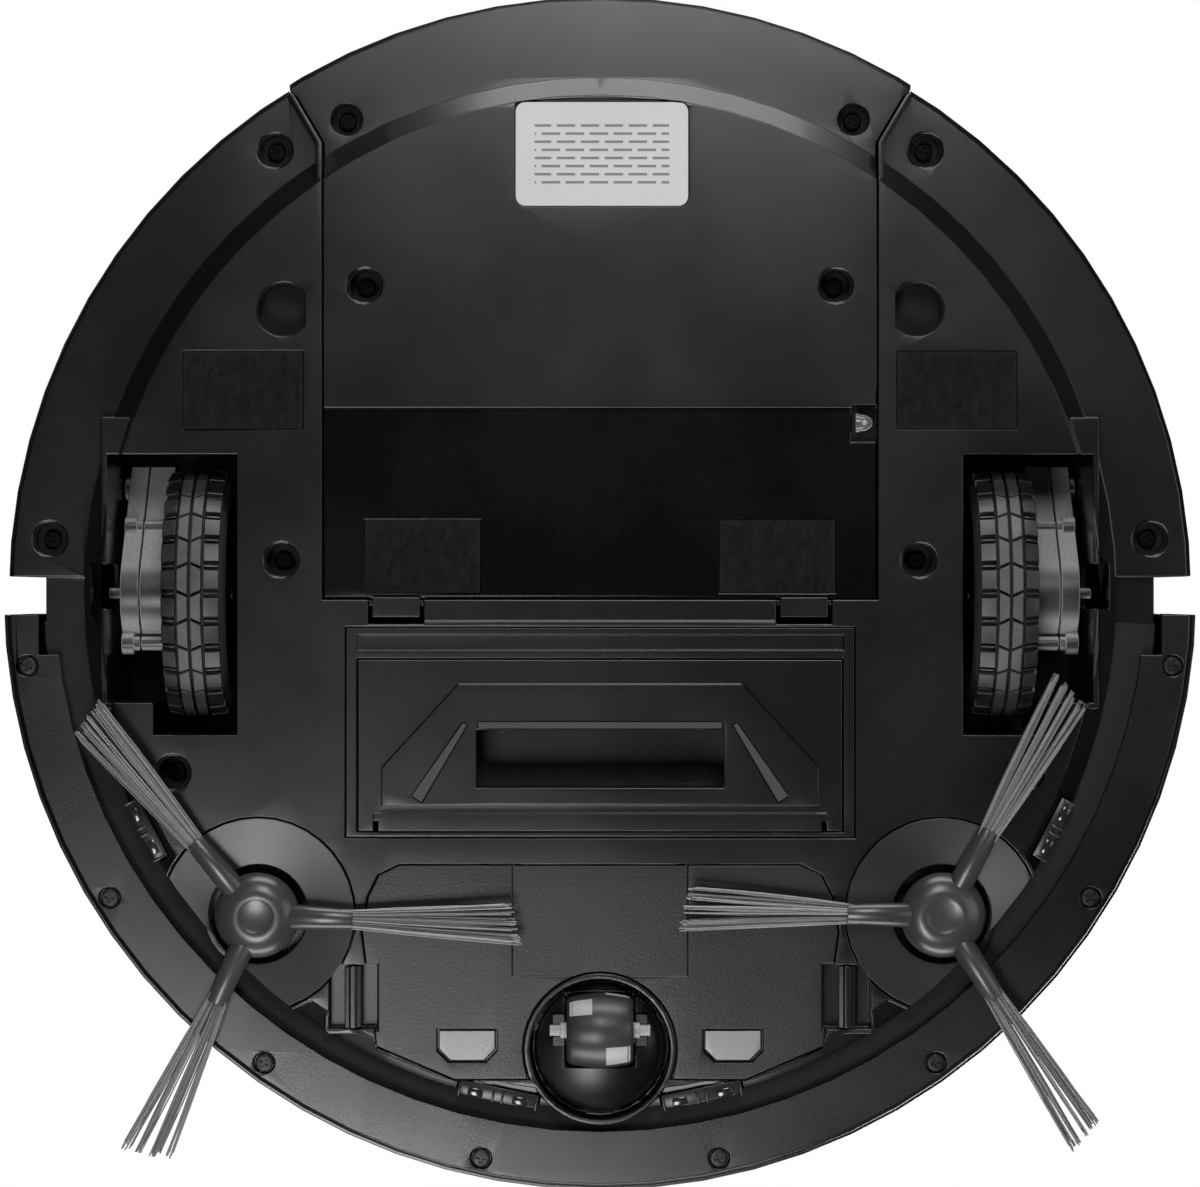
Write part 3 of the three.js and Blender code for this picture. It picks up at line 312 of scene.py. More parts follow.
def mouldedPlastic(name, dark, light, rough, grain=2600.0, bump=0.12, worn=0.0, dust=0.0, coat=0.0):
    material, tree, shader, place = plainMaterial(name)
    tint, mottle = moulded["tint"], moulded["mottle"]
    surface = groupNode(tree, mouldGrain, place, Grain=grain)
    colour = mixColour(tree, surface.outputs["Shade"], grey(dark, tint), grey(light, tint))
    if worn:
        wear = groupNode(tree, edgeWear, place)
        amount = mathNode(tree, "MULTIPLY", wear.outputs["Mask"], worn)
        colour = mixColour(tree, amount, colour, grey(light * 3 + 0.02, tint))
    if dust:
        film = groupNode(tree, floorDust, place)
        amount = mathNode(tree, "MULTIPLY", film.outputs["Mask"], dust)
        colour = mixColour(tree, amount, colour, moulded["dustColour"])
    tree.links.new(colour, shader.inputs["Base Color"])
    roughness = rangeNode(tree, surface.outputs["Shade"], 0, 1, rough - mottle, rough + mottle)
    tree.links.new(roughness, shader.inputs["Roughness"])
    shader.inputs["Coat Weight"].default_value = coat
    shader.inputs["Coat Roughness"].default_value = moulded["coatRoughness"]
    addBump(tree, shader, surface.outputs["Height"], bump, moulded["grainDepth"])
    return material


def brushedMetal(name, dark, light, rough, stretch):
    material, tree, shader, place = plainMaterial(name)
    mapping = tree.nodes.new("ShaderNodeMapping")
    mapping.inputs["Scale"].default_value = stretch
    tree.links.new(place, mapping.inputs["Vector"])
    lines = noiseNode(tree, mapping.outputs[0], 900.0, 3)
    tree.links.new(mixColour(tree, lines, grey(dark), grey(light)), shader.inputs["Base Color"])
    tree.links.new(rangeNode(tree, lines, 0.3, 0.7, rough - 0.06, rough + 0.1), shader.inputs["Roughness"])
    shader.inputs["Metallic"].default_value = 1
    addBump(tree, shader, lines, 0.15, 0.00002)
    return material


def gearboxPaintedSheen():
    # a satin paint with a painted sheen: the colour lightens from near black where the surface faces the view
    # to light grey as it turns away, a painted highlight in place of the lamps' reflection on its slopes
    material, tree, shader, place = plainMaterial("gearboxPaintedSheen")
    surface = groupNode(tree, mouldGrain, place, Grain=1700.0)
    lean = tree.nodes.new("ShaderNodeLayerWeight")
    lean.inputs["Blend"].default_value = 0.5
    # painted highlight: this mask takes the colour from dark to light grey as the surface turns away from the
    # view
    turned = rangeNode(tree, lean.outputs["Facing"], 0.02, 0.28)
    facing = mixColour(tree, surface.outputs["Shade"], grey(0.012), grey(0.03))
    paintedHighlight = mixColour(tree, surface.outputs["Shade"], grey(0.5), grey(0.66))
    colour = mixColour(tree, turned, facing, paintedHighlight)
    speck = mathNode(tree, "MULTIPLY", surface.outputs["Height"], 0.3)
    tree.links.new(mixColour(tree, speck, colour, grey(0.08)), shader.inputs["Base Color"])
    tree.links.new(rangeNode(tree, surface.outputs["Shade"], 0, 1, 0.26, 0.36), shader.inputs["Roughness"])
    addBump(tree, shader, surface.outputs["Height"], 0.12, moulded["grainDepth"])
    return material


def strandMaterial():
    # each bristle carries its own shade
    material, tree, shader, place = plainMaterial("bristle")
    shade = tree.nodes.new("ShaderNodeAttribute")
    shade.attribute_name = "strandShade"
    colour = mixColour(tree, shade.outputs["Fac"], grey(0.10), grey(0.42, 0.02))
    streak = noiseNode(tree, place, 700.0, 2)
    tree.links.new(mixColour(tree, mathNode(tree, "MULTIPLY", streak, 0.35), colour, grey(0.05)),
                   shader.inputs["Base Color"])
    shader.inputs["Roughness"].default_value = 0.42
    return material


label = {
    "barLength": 0.0062,
    "rowPitch": 0.0021,
    "gap": 0.00075,
    "printed": (0.78, 0.62),   # share of the half width and half height that holds bars
}


def labelFilm():
    # a pale film with plain printed bars
    low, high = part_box("rating_label")
    centre = (low + high) / 2
    material, tree, shader, place = plainMaterial("labelFilm")
    mapping = tree.nodes.new("ShaderNodeMapping")
    mapping.inputs["Location"].default_value = -centre
    tree.links.new(place, mapping.inputs["Vector"])
    split = tree.nodes.new("ShaderNodeSeparateXYZ")
    tree.links.new(mapping.outputs[0], split.inputs[0])
    bars = tree.nodes.new("ShaderNodeTexBrick")
    bars.offset = 0.37
    bars.inputs["Scale"].default_value = 1
    bars.inputs["Brick Width"].default_value = label["barLength"]
    bars.inputs["Row Height"].default_value = label["rowPitch"]
    bars.inputs["Mortar Size"].default_value = label["gap"]
    bars.inputs["Mortar Smooth"].default_value = 0.1
    tree.links.new(mapping.outputs[0], bars.inputs["Vector"])
    half = (high - low) / 2
    within = []
    for axis, share in enumerate(label["printed"]):
        away = mathNode(tree, "ABSOLUTE", split.outputs[axis])
        within.append(mathNode(tree, "LESS_THAN", away, half[axis] * share))
    inside = mathNode(tree, "MULTIPLY", *within)
    ink = mathNode(tree, "MULTIPLY", mathNode(tree, "SUBTRACT", 1.0, bars.outputs["Fac"]), inside)
    paper = mixColour(tree, noiseNode(tree, place, 60.0, 3), grey(0.56), grey(0.66))
    tree.links.new(mixColour(tree, mathNode(tree, "MULTIPLY", ink, 0.75), paper, grey(0.06)),
                   shader.inputs["Base Color"])
    shader.inputs["Roughness"].default_value = 0.5
    addBump(tree, shader, noiseNode(tree, place, 1800.0, 2), 0.05, 0.00002)
    return material


def clearLens():
    material, tree, shader, place = plainMaterial("clearLens")
    haze = noiseNode(tree, place, 400.0, 2)
    tree.links.new(mixColour(tree, haze, grey(0.85), grey(0.97)), shader.inputs["Base Color"])
    tree.links.new(rangeNode(tree, haze, 0.3, 0.7, 0.03, 0.09), shader.inputs["Roughness"])
    shader.inputs["Transmission Weight"].default_value = 1
    shader.inputs["IOR"].default_value = 1.5
    return material


def buildLensPaintedRim():
    # milky, with a painted light outline where it curves away from the view, a painted rim highlight
    material, tree, shader, place = plainMaterial("lensPaintedRim")
    haze = noiseNode(tree, place, 500.0, 2)
    lean = tree.nodes.new("ShaderNodeLayerWeight")
    # painted highlight: the rim turns light grey as the lens curves away from the view
    edge = rangeNode(tree, lean.outputs["Facing"], 0.35, 0.75)
    middle = mixColour(tree, haze, grey(0.09), grey(0.13))
    tree.links.new(mixColour(tree, edge, middle, grey(0.62)), shader.inputs["Base Color"])
    shader.inputs["Roughness"].default_value = 0.15
    return material


def fibrous(name, scale, detail, dark, light, roughness, bump=0.0, depth=0.0001):
    # paper, film or pile, where one noise gives both the colour and the height
    material, tree, shader, place = plainMaterial(name)
    fibre = noiseNode(tree, place, scale, detail)
    tree.links.new(mixColour(tree, fibre, dark, light), shader.inputs["Base Color"])
    shader.inputs["Roughness"].default_value = roughness
    if bump:
        addBump(tree, shader, fibre, bump, depth)
    return material


def circuitBoard():
    material, tree, shader, place = plainMaterial("circuitBoard")
    tracks = tree.nodes.new("ShaderNodeTexBrick")
    tracks.inputs["Scale"].default_value = 160
    tree.links.new(place, tracks.inputs["Vector"])
    tree.links.new(mixColour(tree, tracks.outputs["Fac"], (0.01, 0.09, 0.03, 1), (0.02, 0.17, 0.06, 1)),
                   shader.inputs["Base Color"])
    shader.inputs["Roughness"].default_value = 0.35
    addBump(tree, shader, tracks.outputs["Fac"], 0.2, 0.0001)
    return material


materials = {
    "case_plastic": mouldedPlastic("casePlastic", 0.004, 0.007, 0.25, bump=0.1, worn=0.1, dust=0.05),
    "inner_plastic": mouldedPlastic("innerPlastic", 0.003, 0.005, 0.27, bump=0.1, dust=0.04),
    "gloss_panel": mouldedPlastic("glossPanel", 0.010, 0.013, 0.12, grain=900.0, bump=0.01, coat=0.5),
    "button_plastic": mouldedPlastic("buttonPlastic", 0.17, 0.22, 0.33, bump=0.08, worn=0.15),
    "gearbox_plastic": gearboxPaintedSheen(),
    "smoky_plastic": mouldedPlastic("smokyPlastic", 0.03, 0.05, 0.3, grain=1700.0, bump=0.03, coat=0.15),
    "bristle": strandMaterial(),
    "tyre": mouldedPlastic("tyreRubber", 0.010, 0.018, 0.32, grain=1900.0, bump=0.1, worn=0.35, dust=0.12),
    "caster_tread": mouldedPlastic("casterTread", 0.026, 0.042, 0.36, bump=0.08, dust=0.05),
    "vane_rubber": mouldedPlastic("vaneRubber", 0.035, 0.05, 0.6, bump=0.1, dust=0.1),
    "contact_metal": brushedMetal("contactMetal", 0.2, 0.31, 0.46, (1, 9, 1)),
    "axle_steel": brushedMetal("axleSteel", 0.5, 0.66, 0.25, (0.2, 3, 3)),
    "label_film": labelFilm(),
    "loop_pile": fibrous("loopPile", 350.0, 4, grey(0.001), grey(0.008), 1),
    "filter_paper": fibrous("filterPaper", 900.0, 5, grey(0.62, -0.04), grey(0.8, -0.03), 0.85, bump=0.4),
    "clear_lens": clearLens(),
    "battery_wrap": fibrous("batteryWrap", 90.0, 3, (0.02, 0.07, 0.2, 1), (0.05, 0.13, 0.32, 1), 0.3,
                            bump=0.4, depth=0.0004),
    "circuit_board": circuitBoard(),
}
skirtBlack = mouldedPlastic("skirtBlack", 0.003, 0.006, 0.28, bump=0.14, worn=0.15, dust=0.05)
panelBlack = mouldedPlastic("panelBlack", 0.002, 0.003, 0.16, grain=900.0, bump=0.015)
dishBlack = mouldedPlastic("dishBlack", 0.018, 0.026, 0.32, bump=0.06, worn=0.1)
hatchBlack = mouldedPlastic("hatchBlack", 0.006, 0.009, 0.33, grain=1500.0, bump=0.2, dust=0.04)
# a near-black copy of the screw steel: painted shade on the screws deep in the screw wells
steelInPaintedShade = brushedMetal("steelInPaintedShade", 0.004, 0.012, 0.5, (1, 1, 1))
# matte near-black that stands in for shade: painted shade in the screw wells, the bumper's gap, the plug
# sockets and behind the indicator
paintedShadeBlack = mouldedPlastic("paintedShadeBlack", 0.0006, 0.001, 0.75, bump=0.05)
# a darker, matte copy of the tyre rubber for the carcass: painted shade so the grooves between the blocks
# read black
grooveShadeBlack = mouldedPlastic("grooveShadeBlack", 0.002, 0.004, 0.7, bump=0.1)
treadGrey = mouldedPlastic("treadGrey", 0.045, 0.07, 0.5, grain=1500.0, bump=0.2, worn=0.2, dust=0.1)
# pale grey for the caster wheel's real marks, and also a painted glint inside the indicator
markAndPaintedGlintGrey = mouldedPlastic("markAndPaintedGlintGrey", 0.36, 0.43, 0.4, bump=0.05)
pinGrey = mouldedPlastic("pinGrey", 0.33, 0.4, 0.38, bump=0.06)
sensorGrey = mouldedPlastic("sensorGrey", 0.012, 0.02, 0.3, bump=0.08)
lensGrey = mouldedPlastic("lensGrey", 0.015, 0.025, 0.16, grain=900.0, bump=0.02, coat=0.5)
lensPaintedRim = buildLensPaintedRim()
darkSteel = brushedMetal("darkSteel", 0.02, 0.05, 0.38, (1, 1, 1))
print("materials made:", len(bpy.data.materials))


# making pieces
def showPiece(bm, name, body, slot, material=None, stands=(), sharp=40):
    # stands lists the CAD nodes that the piece takes the place of
    mesh = bpy.data.meshes.new(name)
    bm.to_mesh(mesh)
    bm.free()
    mesh.polygons.foreach_set("use_smooth", [True] * len(mesh.polygons))
    mesh.set_sharp_from_angle(angle=math.radians(sharp))
    mesh.materials.append(material or materials[slot])
    piece = bpy.data.objects.new(name, mesh)
    scene.collection.objects.link(piece)
    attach(piece, body)
    if stands:
        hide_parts(*stands)
    return piece


def onlyVerts(items):
    return [item for item in items if isinstance(item, bmesh.types.BMVert)]


def onlyEdges(items):
    return [item for item in items if isinstance(item, bmesh.types.BMEdge)]


def onlyFaces(items):
    return [item for item in items if isinstance(item, bmesh.types.BMFace)]


def everything(bm):
    return bm.verts[:] + bm.edges[:] + bm.faces[:]


def edgesOf(verts):
    return list({edge for vert in verts for edge in vert.link_edges})


def bevelEdges(bm, edges, width, segments=2, clamp=False):
    bmesh.ops.bevel(bm, geom=edges, offset=width, offset_type="OFFSET", segments=segments, profile=0.5,
                    affect="EDGES", clamp_overlap=clamp, material=-1)


def weightNormals(piece):
    modifier = piece.modifiers.new("evenNormals", "WEIGHTED_NORMAL")
    modifier.keep_sharp = True
    modifier.weight = 80


def mergedCopy(node):
    # a CAD node's loose triangles, welded and with its flat faces whole again
    bm = bmesh.new()
    bm.from_mesh(nodes[node].data)
    bmesh.ops.remove_doubles(bm, verts=bm.verts, dist=2e-6)
    bmesh.ops.dissolve_limit(bm, angle_limit=math.radians(0.6), verts=bm.verts, edges=bm.edges)
    bmesh.ops.dissolve_degenerate(bm, dist=2e-5, edges=bm.edges)
    return bm


def cutAcross(bm, pitch):
    # shares big faces out so that none is one huge outline, with cuts that miss the middle planes
    offset = 1.37 * mm
    for axis, normal in enumerate((Vector((1, 0, 0)), Vector((0, 1, 0)))):
        places = [vert.co[axis] for vert in bm.verts]
        step = math.ceil(min(places) / pitch)
        while step * pitch < max(places):
            bmesh.ops.bisect_plane(bm, geom=everything(bm), dist=3e-5,
                                   plane_co=normal * (step * pitch + offset), plane_no=normal)
            step += 1


def roundEdges(bm, width, angle=28):
    sharp = [edge for edge in bm.edges
             if len(edge.link_faces) == 2 and edge.calc_face_angle(0) > math.radians(angle)]
    bevelEdges(bm, sharp, width)
    bmesh.ops.triangulate(bm, faces=[face for face in bm.faces if len(face.verts) > 4])
    bmesh.ops.dissolve_degenerate(bm, dist=2e-6, edges=bm.edges)


softened = {   # width of the rounded edges and spacing of the cross cuts, mm; None where it stays whole
    "chassis_base": (0.3, 26.5),
    "top_cover": (0.35, 40),
    "top_deck": (0.25, 60),
    "power_button": (0.25, None),
    "bumper_shell": (0.3, 40),
    "bumper_skirt": (0.3, 30),
    "dust_bin": (0.25, 26.5),
    "dust_bin_lid": (0.25, 40),
    "dust_bin_panel": (0.25, 30),
    "release_button": (0.4, None),
    "suction_frame": (0.25, 30),
    "suction_plate": (0.25, 26.5),
    "battery_hatch": (0.25, 26.5),
    "caster_swivel": (0.25, 2.6),
}
for side in sides:
    softened[f"{side}_bin_clip"] = (0.3, None)
    softened[f"{side}_suction_fin"] = (0.15, None)
    softened[f"{side}_hatch_latch"] = (0.3, None)
    softened[f"{side}_charge_contact"] = (0.3, None)
    softened[f"{side}_brush_dish"] = (0.2, None)
    softened[f"{side}_drive_rim"] = (0.2, None)

ownMaterial = {
    "bumper_skirt": skirtBlack, "dust_bin_panel": panelBlack, "battery_hatch": hatchBlack,
    "left_brush_dish": dishBlack, "right_brush_dish": dishBlack,
}

for node, (width, pitch) in softened.items():
    bm = mergedCopy(node)
    if pitch:
        cutAcross(bm, pitch * mm)
    roundEdges(bm, width * mm)
    piece = showPiece(bm, f"{node}_moulding", bodyOf[node], slotOf[node], ownMaterial.get(node),
                      stands=(node,))
    weightNormals(piece)
print("moulded pieces softened:", len(softened))

swivel = {"faceLow": 12.5, "faceHigh": 14.2, "bulge": 3.6, "cheek": 9.9}   # heights and rise at the rim, mm


def shapeSwivel():
    # rounds the swivel's flat lower face and lets its cheeks end at the axle
    low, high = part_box("caster_swivel")
    middle = (low + high) / 2
    reach = (high.x - low.x) / 2
    for vert in bpy.data.objects["caster_swivel_moulding"].data.vertices:
        if vert.co.z < swivel["faceLow"] * mm:
            vert.co.z = max(vert.co.z, swivel["cheek"] * mm)
        elif vert.co.z < swivel["faceHigh"] * mm:
            share = math.hypot(vert.co.x - middle.x, vert.co.y - middle.y) / reach
            vert.co.z += swivel["bulge"] * mm * share ** 2


shapeSwivel()


def spinAbout(bm, profile, centre, axis, steps):
    # a closed ring of points, or a line that starts and ends on the axis, turned full circle
    points = [bm.verts.new(point) for point in profile]
    edges = [bm.edges.new(pair) for pair in zip(points, points[1:])]
    bmesh.ops.spin(bm, geom=points + edges, cent=centre, axis=axis, dvec=(0, 0, 0), angle=math.tau,
                   steps=steps, use_merge=True, use_duplicate=False)


def closeUp(bm):
    # welds a turned piece's seam and poles and makes its faces point outwards
    bmesh.ops.remove_doubles(bm, verts=bm.verts, dist=1e-6)
    bmesh.ops.dissolve_degenerate(bm, dist=1e-6, edges=bm.edges)
    bmesh.ops.recalc_face_normals(bm, faces=bm.faces)


def addBlock(bm, place, size, rounding):
    # a small box with round edges, its size in mm, put in at a place
    stretch = Matrix.Diagonal((*(length * mm for length in size), 1))
    made = bmesh.ops.create_cube(bm, size=1, matrix=place @ stretch)
    bevelEdges(bm, edgesOf(made["verts"]), rounding * mm, clamp=True)


def templateMesh(bm, name):
    mesh = bpy.data.meshes.new(name)
    bm.to_mesh(mesh)
    bm.free()
    return mesh


def joinInto(whole, part):
    mesh = templateMesh(part, "part")
    whole.from_mesh(mesh)
    bpy.data.meshes.remove(mesh)


def addCopy(bm, template):
    # puts a copy of a small mesh in and returns its vertices and faces
    bm.from_mesh(template)
    bm.verts.ensure_lookup_table()
    bm.faces.ensure_lookup_table()
    return bm.verts[-len(template.vertices):], bm.faces[-len(template.polygons):]


# screws
screw = {
    "headRadius": 2.3,
    "headHeight": 1.1,
    "crossArm": 1.35,
    "crossHalf": 0.36,
    "crossDepth": 0.8,
    "rounding": 0.35,
    "turn": 1.5,         # most that one screw is turned, in radians
    "sunk": 0.15,        # how far the ring's heads lie inside the skirt's low face
    "ringRadius": 149.6,
    "ringSpots": (-7.2, -31.8, -54.4, -78.1),   # degrees, mirrored to the other side
    "baseSpots": ((84.4, 115), (82.5, 8.7), (142.8, 14.2), (110.5, -46.3)),
    "binSpots": ((65.8, 123), (60.9, 79.7)),
    "wellDepth": 9.5,
    "floorRadius": 134,  # outside this the case's low face is higher
    "rimStep": 4,
    "shadeStart": 0.9,   # past the chamfer of the well's mouth
    "shadeInner": 4.05,
    "shadeOuter": 4.2,
    "shadeTop": 11,
    "shadeCap": 0.2,
}


def addScrew(bm, x, y, z, turn):
    # a cross-head screw that faces down
    radius, arm, half = screw["headRadius"] * mm, screw["crossArm"] * mm, screw["crossHalf"] * mm
    place = Matrix.Translation((x, y, z)) @ Matrix.Rotation(turn, 4, "Z")
    rim = bmesh.ops.create_circle(bm, segments=24, radius=radius, matrix=place)["verts"]
    corners = []
    for quarter in range(4):
        spun = place @ Matrix.Rotation(quarter * math.pi / 2, 4, "Z")
        corners += [bm.verts.new(spun @ Vector(point)) for point in
                    ((half, -half, 0), (arm, -half, 0), (arm, half, 0))]
    crossEdges = [bm.edges.new(pair) for pair in zip(corners, corners[1:] + corners[:1])]
    rimEdges = edgesOf(rim)
    bmesh.ops.triangle_fill(bm, edges=crossEdges + rimEdges, use_beauty=True, use_dissolve=False, normal=down)
    for edges, depth in ((crossEdges, screw["crossDepth"]), (rimEdges, screw["headHeight"])):
        made = bmesh.ops.extrude_edge_only(bm, edges=edges)["geom"]
        ends = onlyVerts(made)
        bmesh.ops.translate(bm, vec=(0, 0, depth * mm), verts=ends)
        closing = [edge for edge in onlyEdges(made) if all(vert in ends for vert in edge.verts)]
        bmesh.ops.contextual_create(bm, geom=closing)
    bevelEdges(bm, rimEdges, screw["rounding"] * mm, segments=3)


def addWellShade(bm, x, y, floorLow):
    # a dark sleeve of painted shade inside a deep screw well, closed above the screw, so the well reads black
    rim = floorLow if math.hypot(x, y) < screw["floorRadius"] * mm else floorLow + screw["rimStep"] * mm
    start = rim + screw["shadeStart"] * mm
    top = floorLow + (screw["shadeTop"] - screw["shadeCap"]) * mm
    inner, outer = screw["shadeInner"] * mm, screw["shadeOuter"] * mm
    line = [(outer, start), (inner, start), (inner, top), (0, top)]
    spinAbout(bm, [Vector((x + r, y, z)) for r, z in line], (x, y, 0), (0, 0, 1), 24)


def buildScrews():
    draw = random.Random(4)
    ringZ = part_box("bumper_skirt")[0].z + screw["sunk"] * mm
    reach = screw["ringRadius"] * mm
    bm = bmesh.new()
    for side in sides.values():
        for spot in screw["ringSpots"]:
            angle = math.radians(spot)
            addScrew(bm, side * reach * math.cos(angle), reach * math.sin(angle), ringZ,
                     draw.uniform(0, screw["turn"]))
    closeUp(bm)
    showPiece(bm, "skirt_screws", "bumper", "axle_steel", darkSteel, sharp=30)
    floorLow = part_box("chassis_base")[0].z
    headZ = floorLow + screw["wellDepth"] * mm
    for name, body in (("base", "chassis"), ("bin", "dust_bin")):
        bm = bmesh.new()
        # painted shade: dark sleeves inside the screw wells
        wellShades = bmesh.new()
        for side in sides.values():
            for x, y in screw[f"{name}Spots"]:
                addScrew(bm, side * x * mm, y * mm, headZ, draw.uniform(0, screw["turn"]))
                addWellShade(wellShades, side * x * mm, y * mm, floorLow)
        closeUp(bm)
        closeUp(wellShades)
        # the well screws wear the near-black steel, painted shade
        showPiece(bm, f"{name}_screws", body, "axle_steel", steelInPaintedShade, sharp=30)
        showPiece(wellShades, f"{name}_well_painted_shade", body, "case_plastic", paintedShadeBlack)


buildScrews()
print("screws are in")


# drive tyres
tread = {
    "pitches": 28,
    "grooveFloor": 30.4,     # radius under the blocks
    "bendRadius": 32.5,      # where the flat tread keeps its length
    "crown": 0.9,            # how much lower the shoulders are
    "crownHalf": 8.25,
    "sink": 0.6,             # how far blocks reach into the carcass, and ribs stay below the blocks
    "inner": (-6.9, -2.85),  # places across the tyre, inboard is minus
    "hexes": ((-2.2, 0.45), (1.25, 3.9)),
    "outer": (4.55, 8.1),
    "crossGroove": 2.5,      # between shoulder blocks
    "hexGroove": 0.8,
    "chevron": 1.2,          # how far the zigzag leans each way
    "rib": 0.5,              # low bar in each cross groove
}


def treadBlock(bm, outline, low, high, rounding):
    # an outline of (across, around) in mm, raised outwards from one radius to another
    verts = [bm.verts.new((across * mm, around * mm, -low * mm)) for across, around in outline]
    face = bm.faces.new(verts)
    made = bmesh.ops.extrude_face_region(bm, geom=[face])["geom"]
    bmesh.ops.translate(bm, vec=(0, 0, (low - high) * mm), verts=onlyVerts(made))
    bevelEdges(bm, onlyEdges(made), rounding * mm, clamp=True)


def rectangle(x0, x1, y0, y1):
    return [(x0, y0), (x1, y0), (x1, y1), (x0, y1)]


def bendRound(bm, centre, side):
    # wraps the flat tread round the axle and lowers its shoulders
    for vert in bm.verts:
        share = min(abs(vert.co.x / (tread["crownHalf"] * mm)), 1)
        reach = -vert.co.z - tread["crown"] * mm * share ** 4
        angle = vert.co.y / (tread["bendRadius"] * mm)
        vert.co = Vector((vert.co.x * side, reach * math.sin(angle), -reach * math.cos(angle))) + centre


def repeatRound(bm, centre, copies):
    bmesh.ops.spin(bm, geom=everything(bm), cent=centre, axis=(1, 0, 0), dvec=(0, 0, 0),
                   angle=math.tau * (copies - 1) / copies, steps=copies - 1, use_merge=False,
                   use_duplicate=True)
    bmesh.ops.recalc_face_normals(bm, faces=bm.faces)


def buildCarcass(name, side, centre, half):
    node = f"{name}_drive_tyre"
    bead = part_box(f"{name}_drive_rim")
    rimRadius = (bead[1].z - bead[0].z) / 2 / mm + 0.1
    floor = tread["grooveFloor"]
    carcass = bmesh.new()
    section = [(-half + 0.7, rimRadius), (-half + 0.1, rimRadius + 1.2), (-half, rimRadius + 2.8),
               (-half + 0.25, floor - 1.6), (-half + 0.9, floor - 0.5), (-half + 1.8, floor)]
    section += [(-across, reach) for across, reach in reversed(section)]
    spinAbout(carcass, [centre + Vector((x * mm * side, 0, -r * mm)) for x, r in section + section[:1]],
              centre, (1, 0, 0), 84)
    closeUp(carcass)
    # the carcass wears the darker rubber, painted shade in the grooves
    showPiece(carcass, f"{name}_tyre_carcass", bodyOf[node], "tyre", grooveShadeBlack, stands=(node,))


def shoulderBlocks(pitch, radius):
    # one block and one low rib on each shoulder
    bm = bmesh.new()
    low = tread["grooveFloor"] - tread["sink"]
    gap, rib = tread["crossGroove"] / 2, tread["rib"] / 2
    for x0, x1 in (tread["inner"], tread["outer"]):
        treadBlock(bm, rectangle(x0, x1, gap, pitch - gap), low, radius, 0.2)
        treadBlock(bm, rectangle(x0 + 0.3, x1 - 0.3, -rib, rib), low, radius - tread["sink"], 0.12)
    return bm


def centreBlocks(pitch, radius):
    # two rows of blocks whose ends zigzag, wide and narrow by turns
    bm = bmesh.new()
    gap = tread["hexGroove"] / 2
    for row, sign in ((0, 1), (1, -1)):
        start, end = row * pitch + gap, (row + 1) * pitch - gap
        for (x0, x1), hand in zip(tread["hexes"], (1, -1)):
            lean = sign * hand * tread["chevron"] / 2
            outline = [(x0, start + lean), (x1, start - lean), (x1, end + lean), (x0, end - lean)]
            treadBlock(bm, outline, tread["grooveFloor"] - tread["sink"], radius, 0.16)
    return bm


def buildTyre(name, side):
    low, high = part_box(f"{name}_drive_tyre")
    centre = (low + high) / 2
    radius = (high.z - low.z) / 2 / mm
    pitches = tread["pitches"]
    pitch = math.tau * radius / pitches
    buildCarcass(name, side, centre, (high.x - low.x) / 2 / mm)
    for part, blocks, copies, material in (("shoulder", shoulderBlocks, pitches, None),
                                           ("centre", centreBlocks, pitches // 2, treadGrey)):
        bm = blocks(pitch, radius)
        bendRound(bm, centre, side)
        repeatRound(bm, centre, copies)
        piece = showPiece(bm, f"{name}_tyre_{part}_blocks", bodyOf[f"{name}_drive_tyre"], "tyre", material)
        weightNormals(piece)


for name, side in sides.items():
    buildTyre(name, side)
print("tyres are in")


# drive gearboxes
gearbox = {
    "gap": 0.6,          # from the tyre to the inboard face
    "depth": 11.6,       # from there to the outboard face
    "seam": 4.6,         # from the outboard face
    "seamGap": 0.4,
    "rounding": 0.25,
}


def buildGearbox(name, side):
    node = f"{name}_drive_gearbox"
    tyreOut = max(abs(corner.x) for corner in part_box(f"{name}_drive_tyre"))
    seamX = side * (tyreOut + (gearbox["gap"] + gearbox["depth"] - gearbox["seam"]) * mm)
    whole = bmesh.new()
    for sign in (1, -1):
        half = mergedCopy(node)
        plane = Vector((seamX + sign * gearbox["seamGap"] * mm / 2, 0, 0))
        bmesh.ops.bisect_plane(half, geom=everything(half), dist=1e-6, plane_co=plane,
                               plane_no=(-sign, 0, 0), clear_outer=True)
        bmesh.ops.holes_fill(half, edges=[edge for edge in half.edges if edge.is_boundary], sides=0)
        roundEdges(half, gearbox["rounding"] * mm)
        joinInto(whole, half)
    piece = showPiece(whole, f"{name}_gearbox_halves", bodyOf[node], "gearbox_plastic", stands=(node,))
    weightNormals(piece)


for name, side in sides.items():
    buildGearbox(name, side)
print("gearboxes are in")


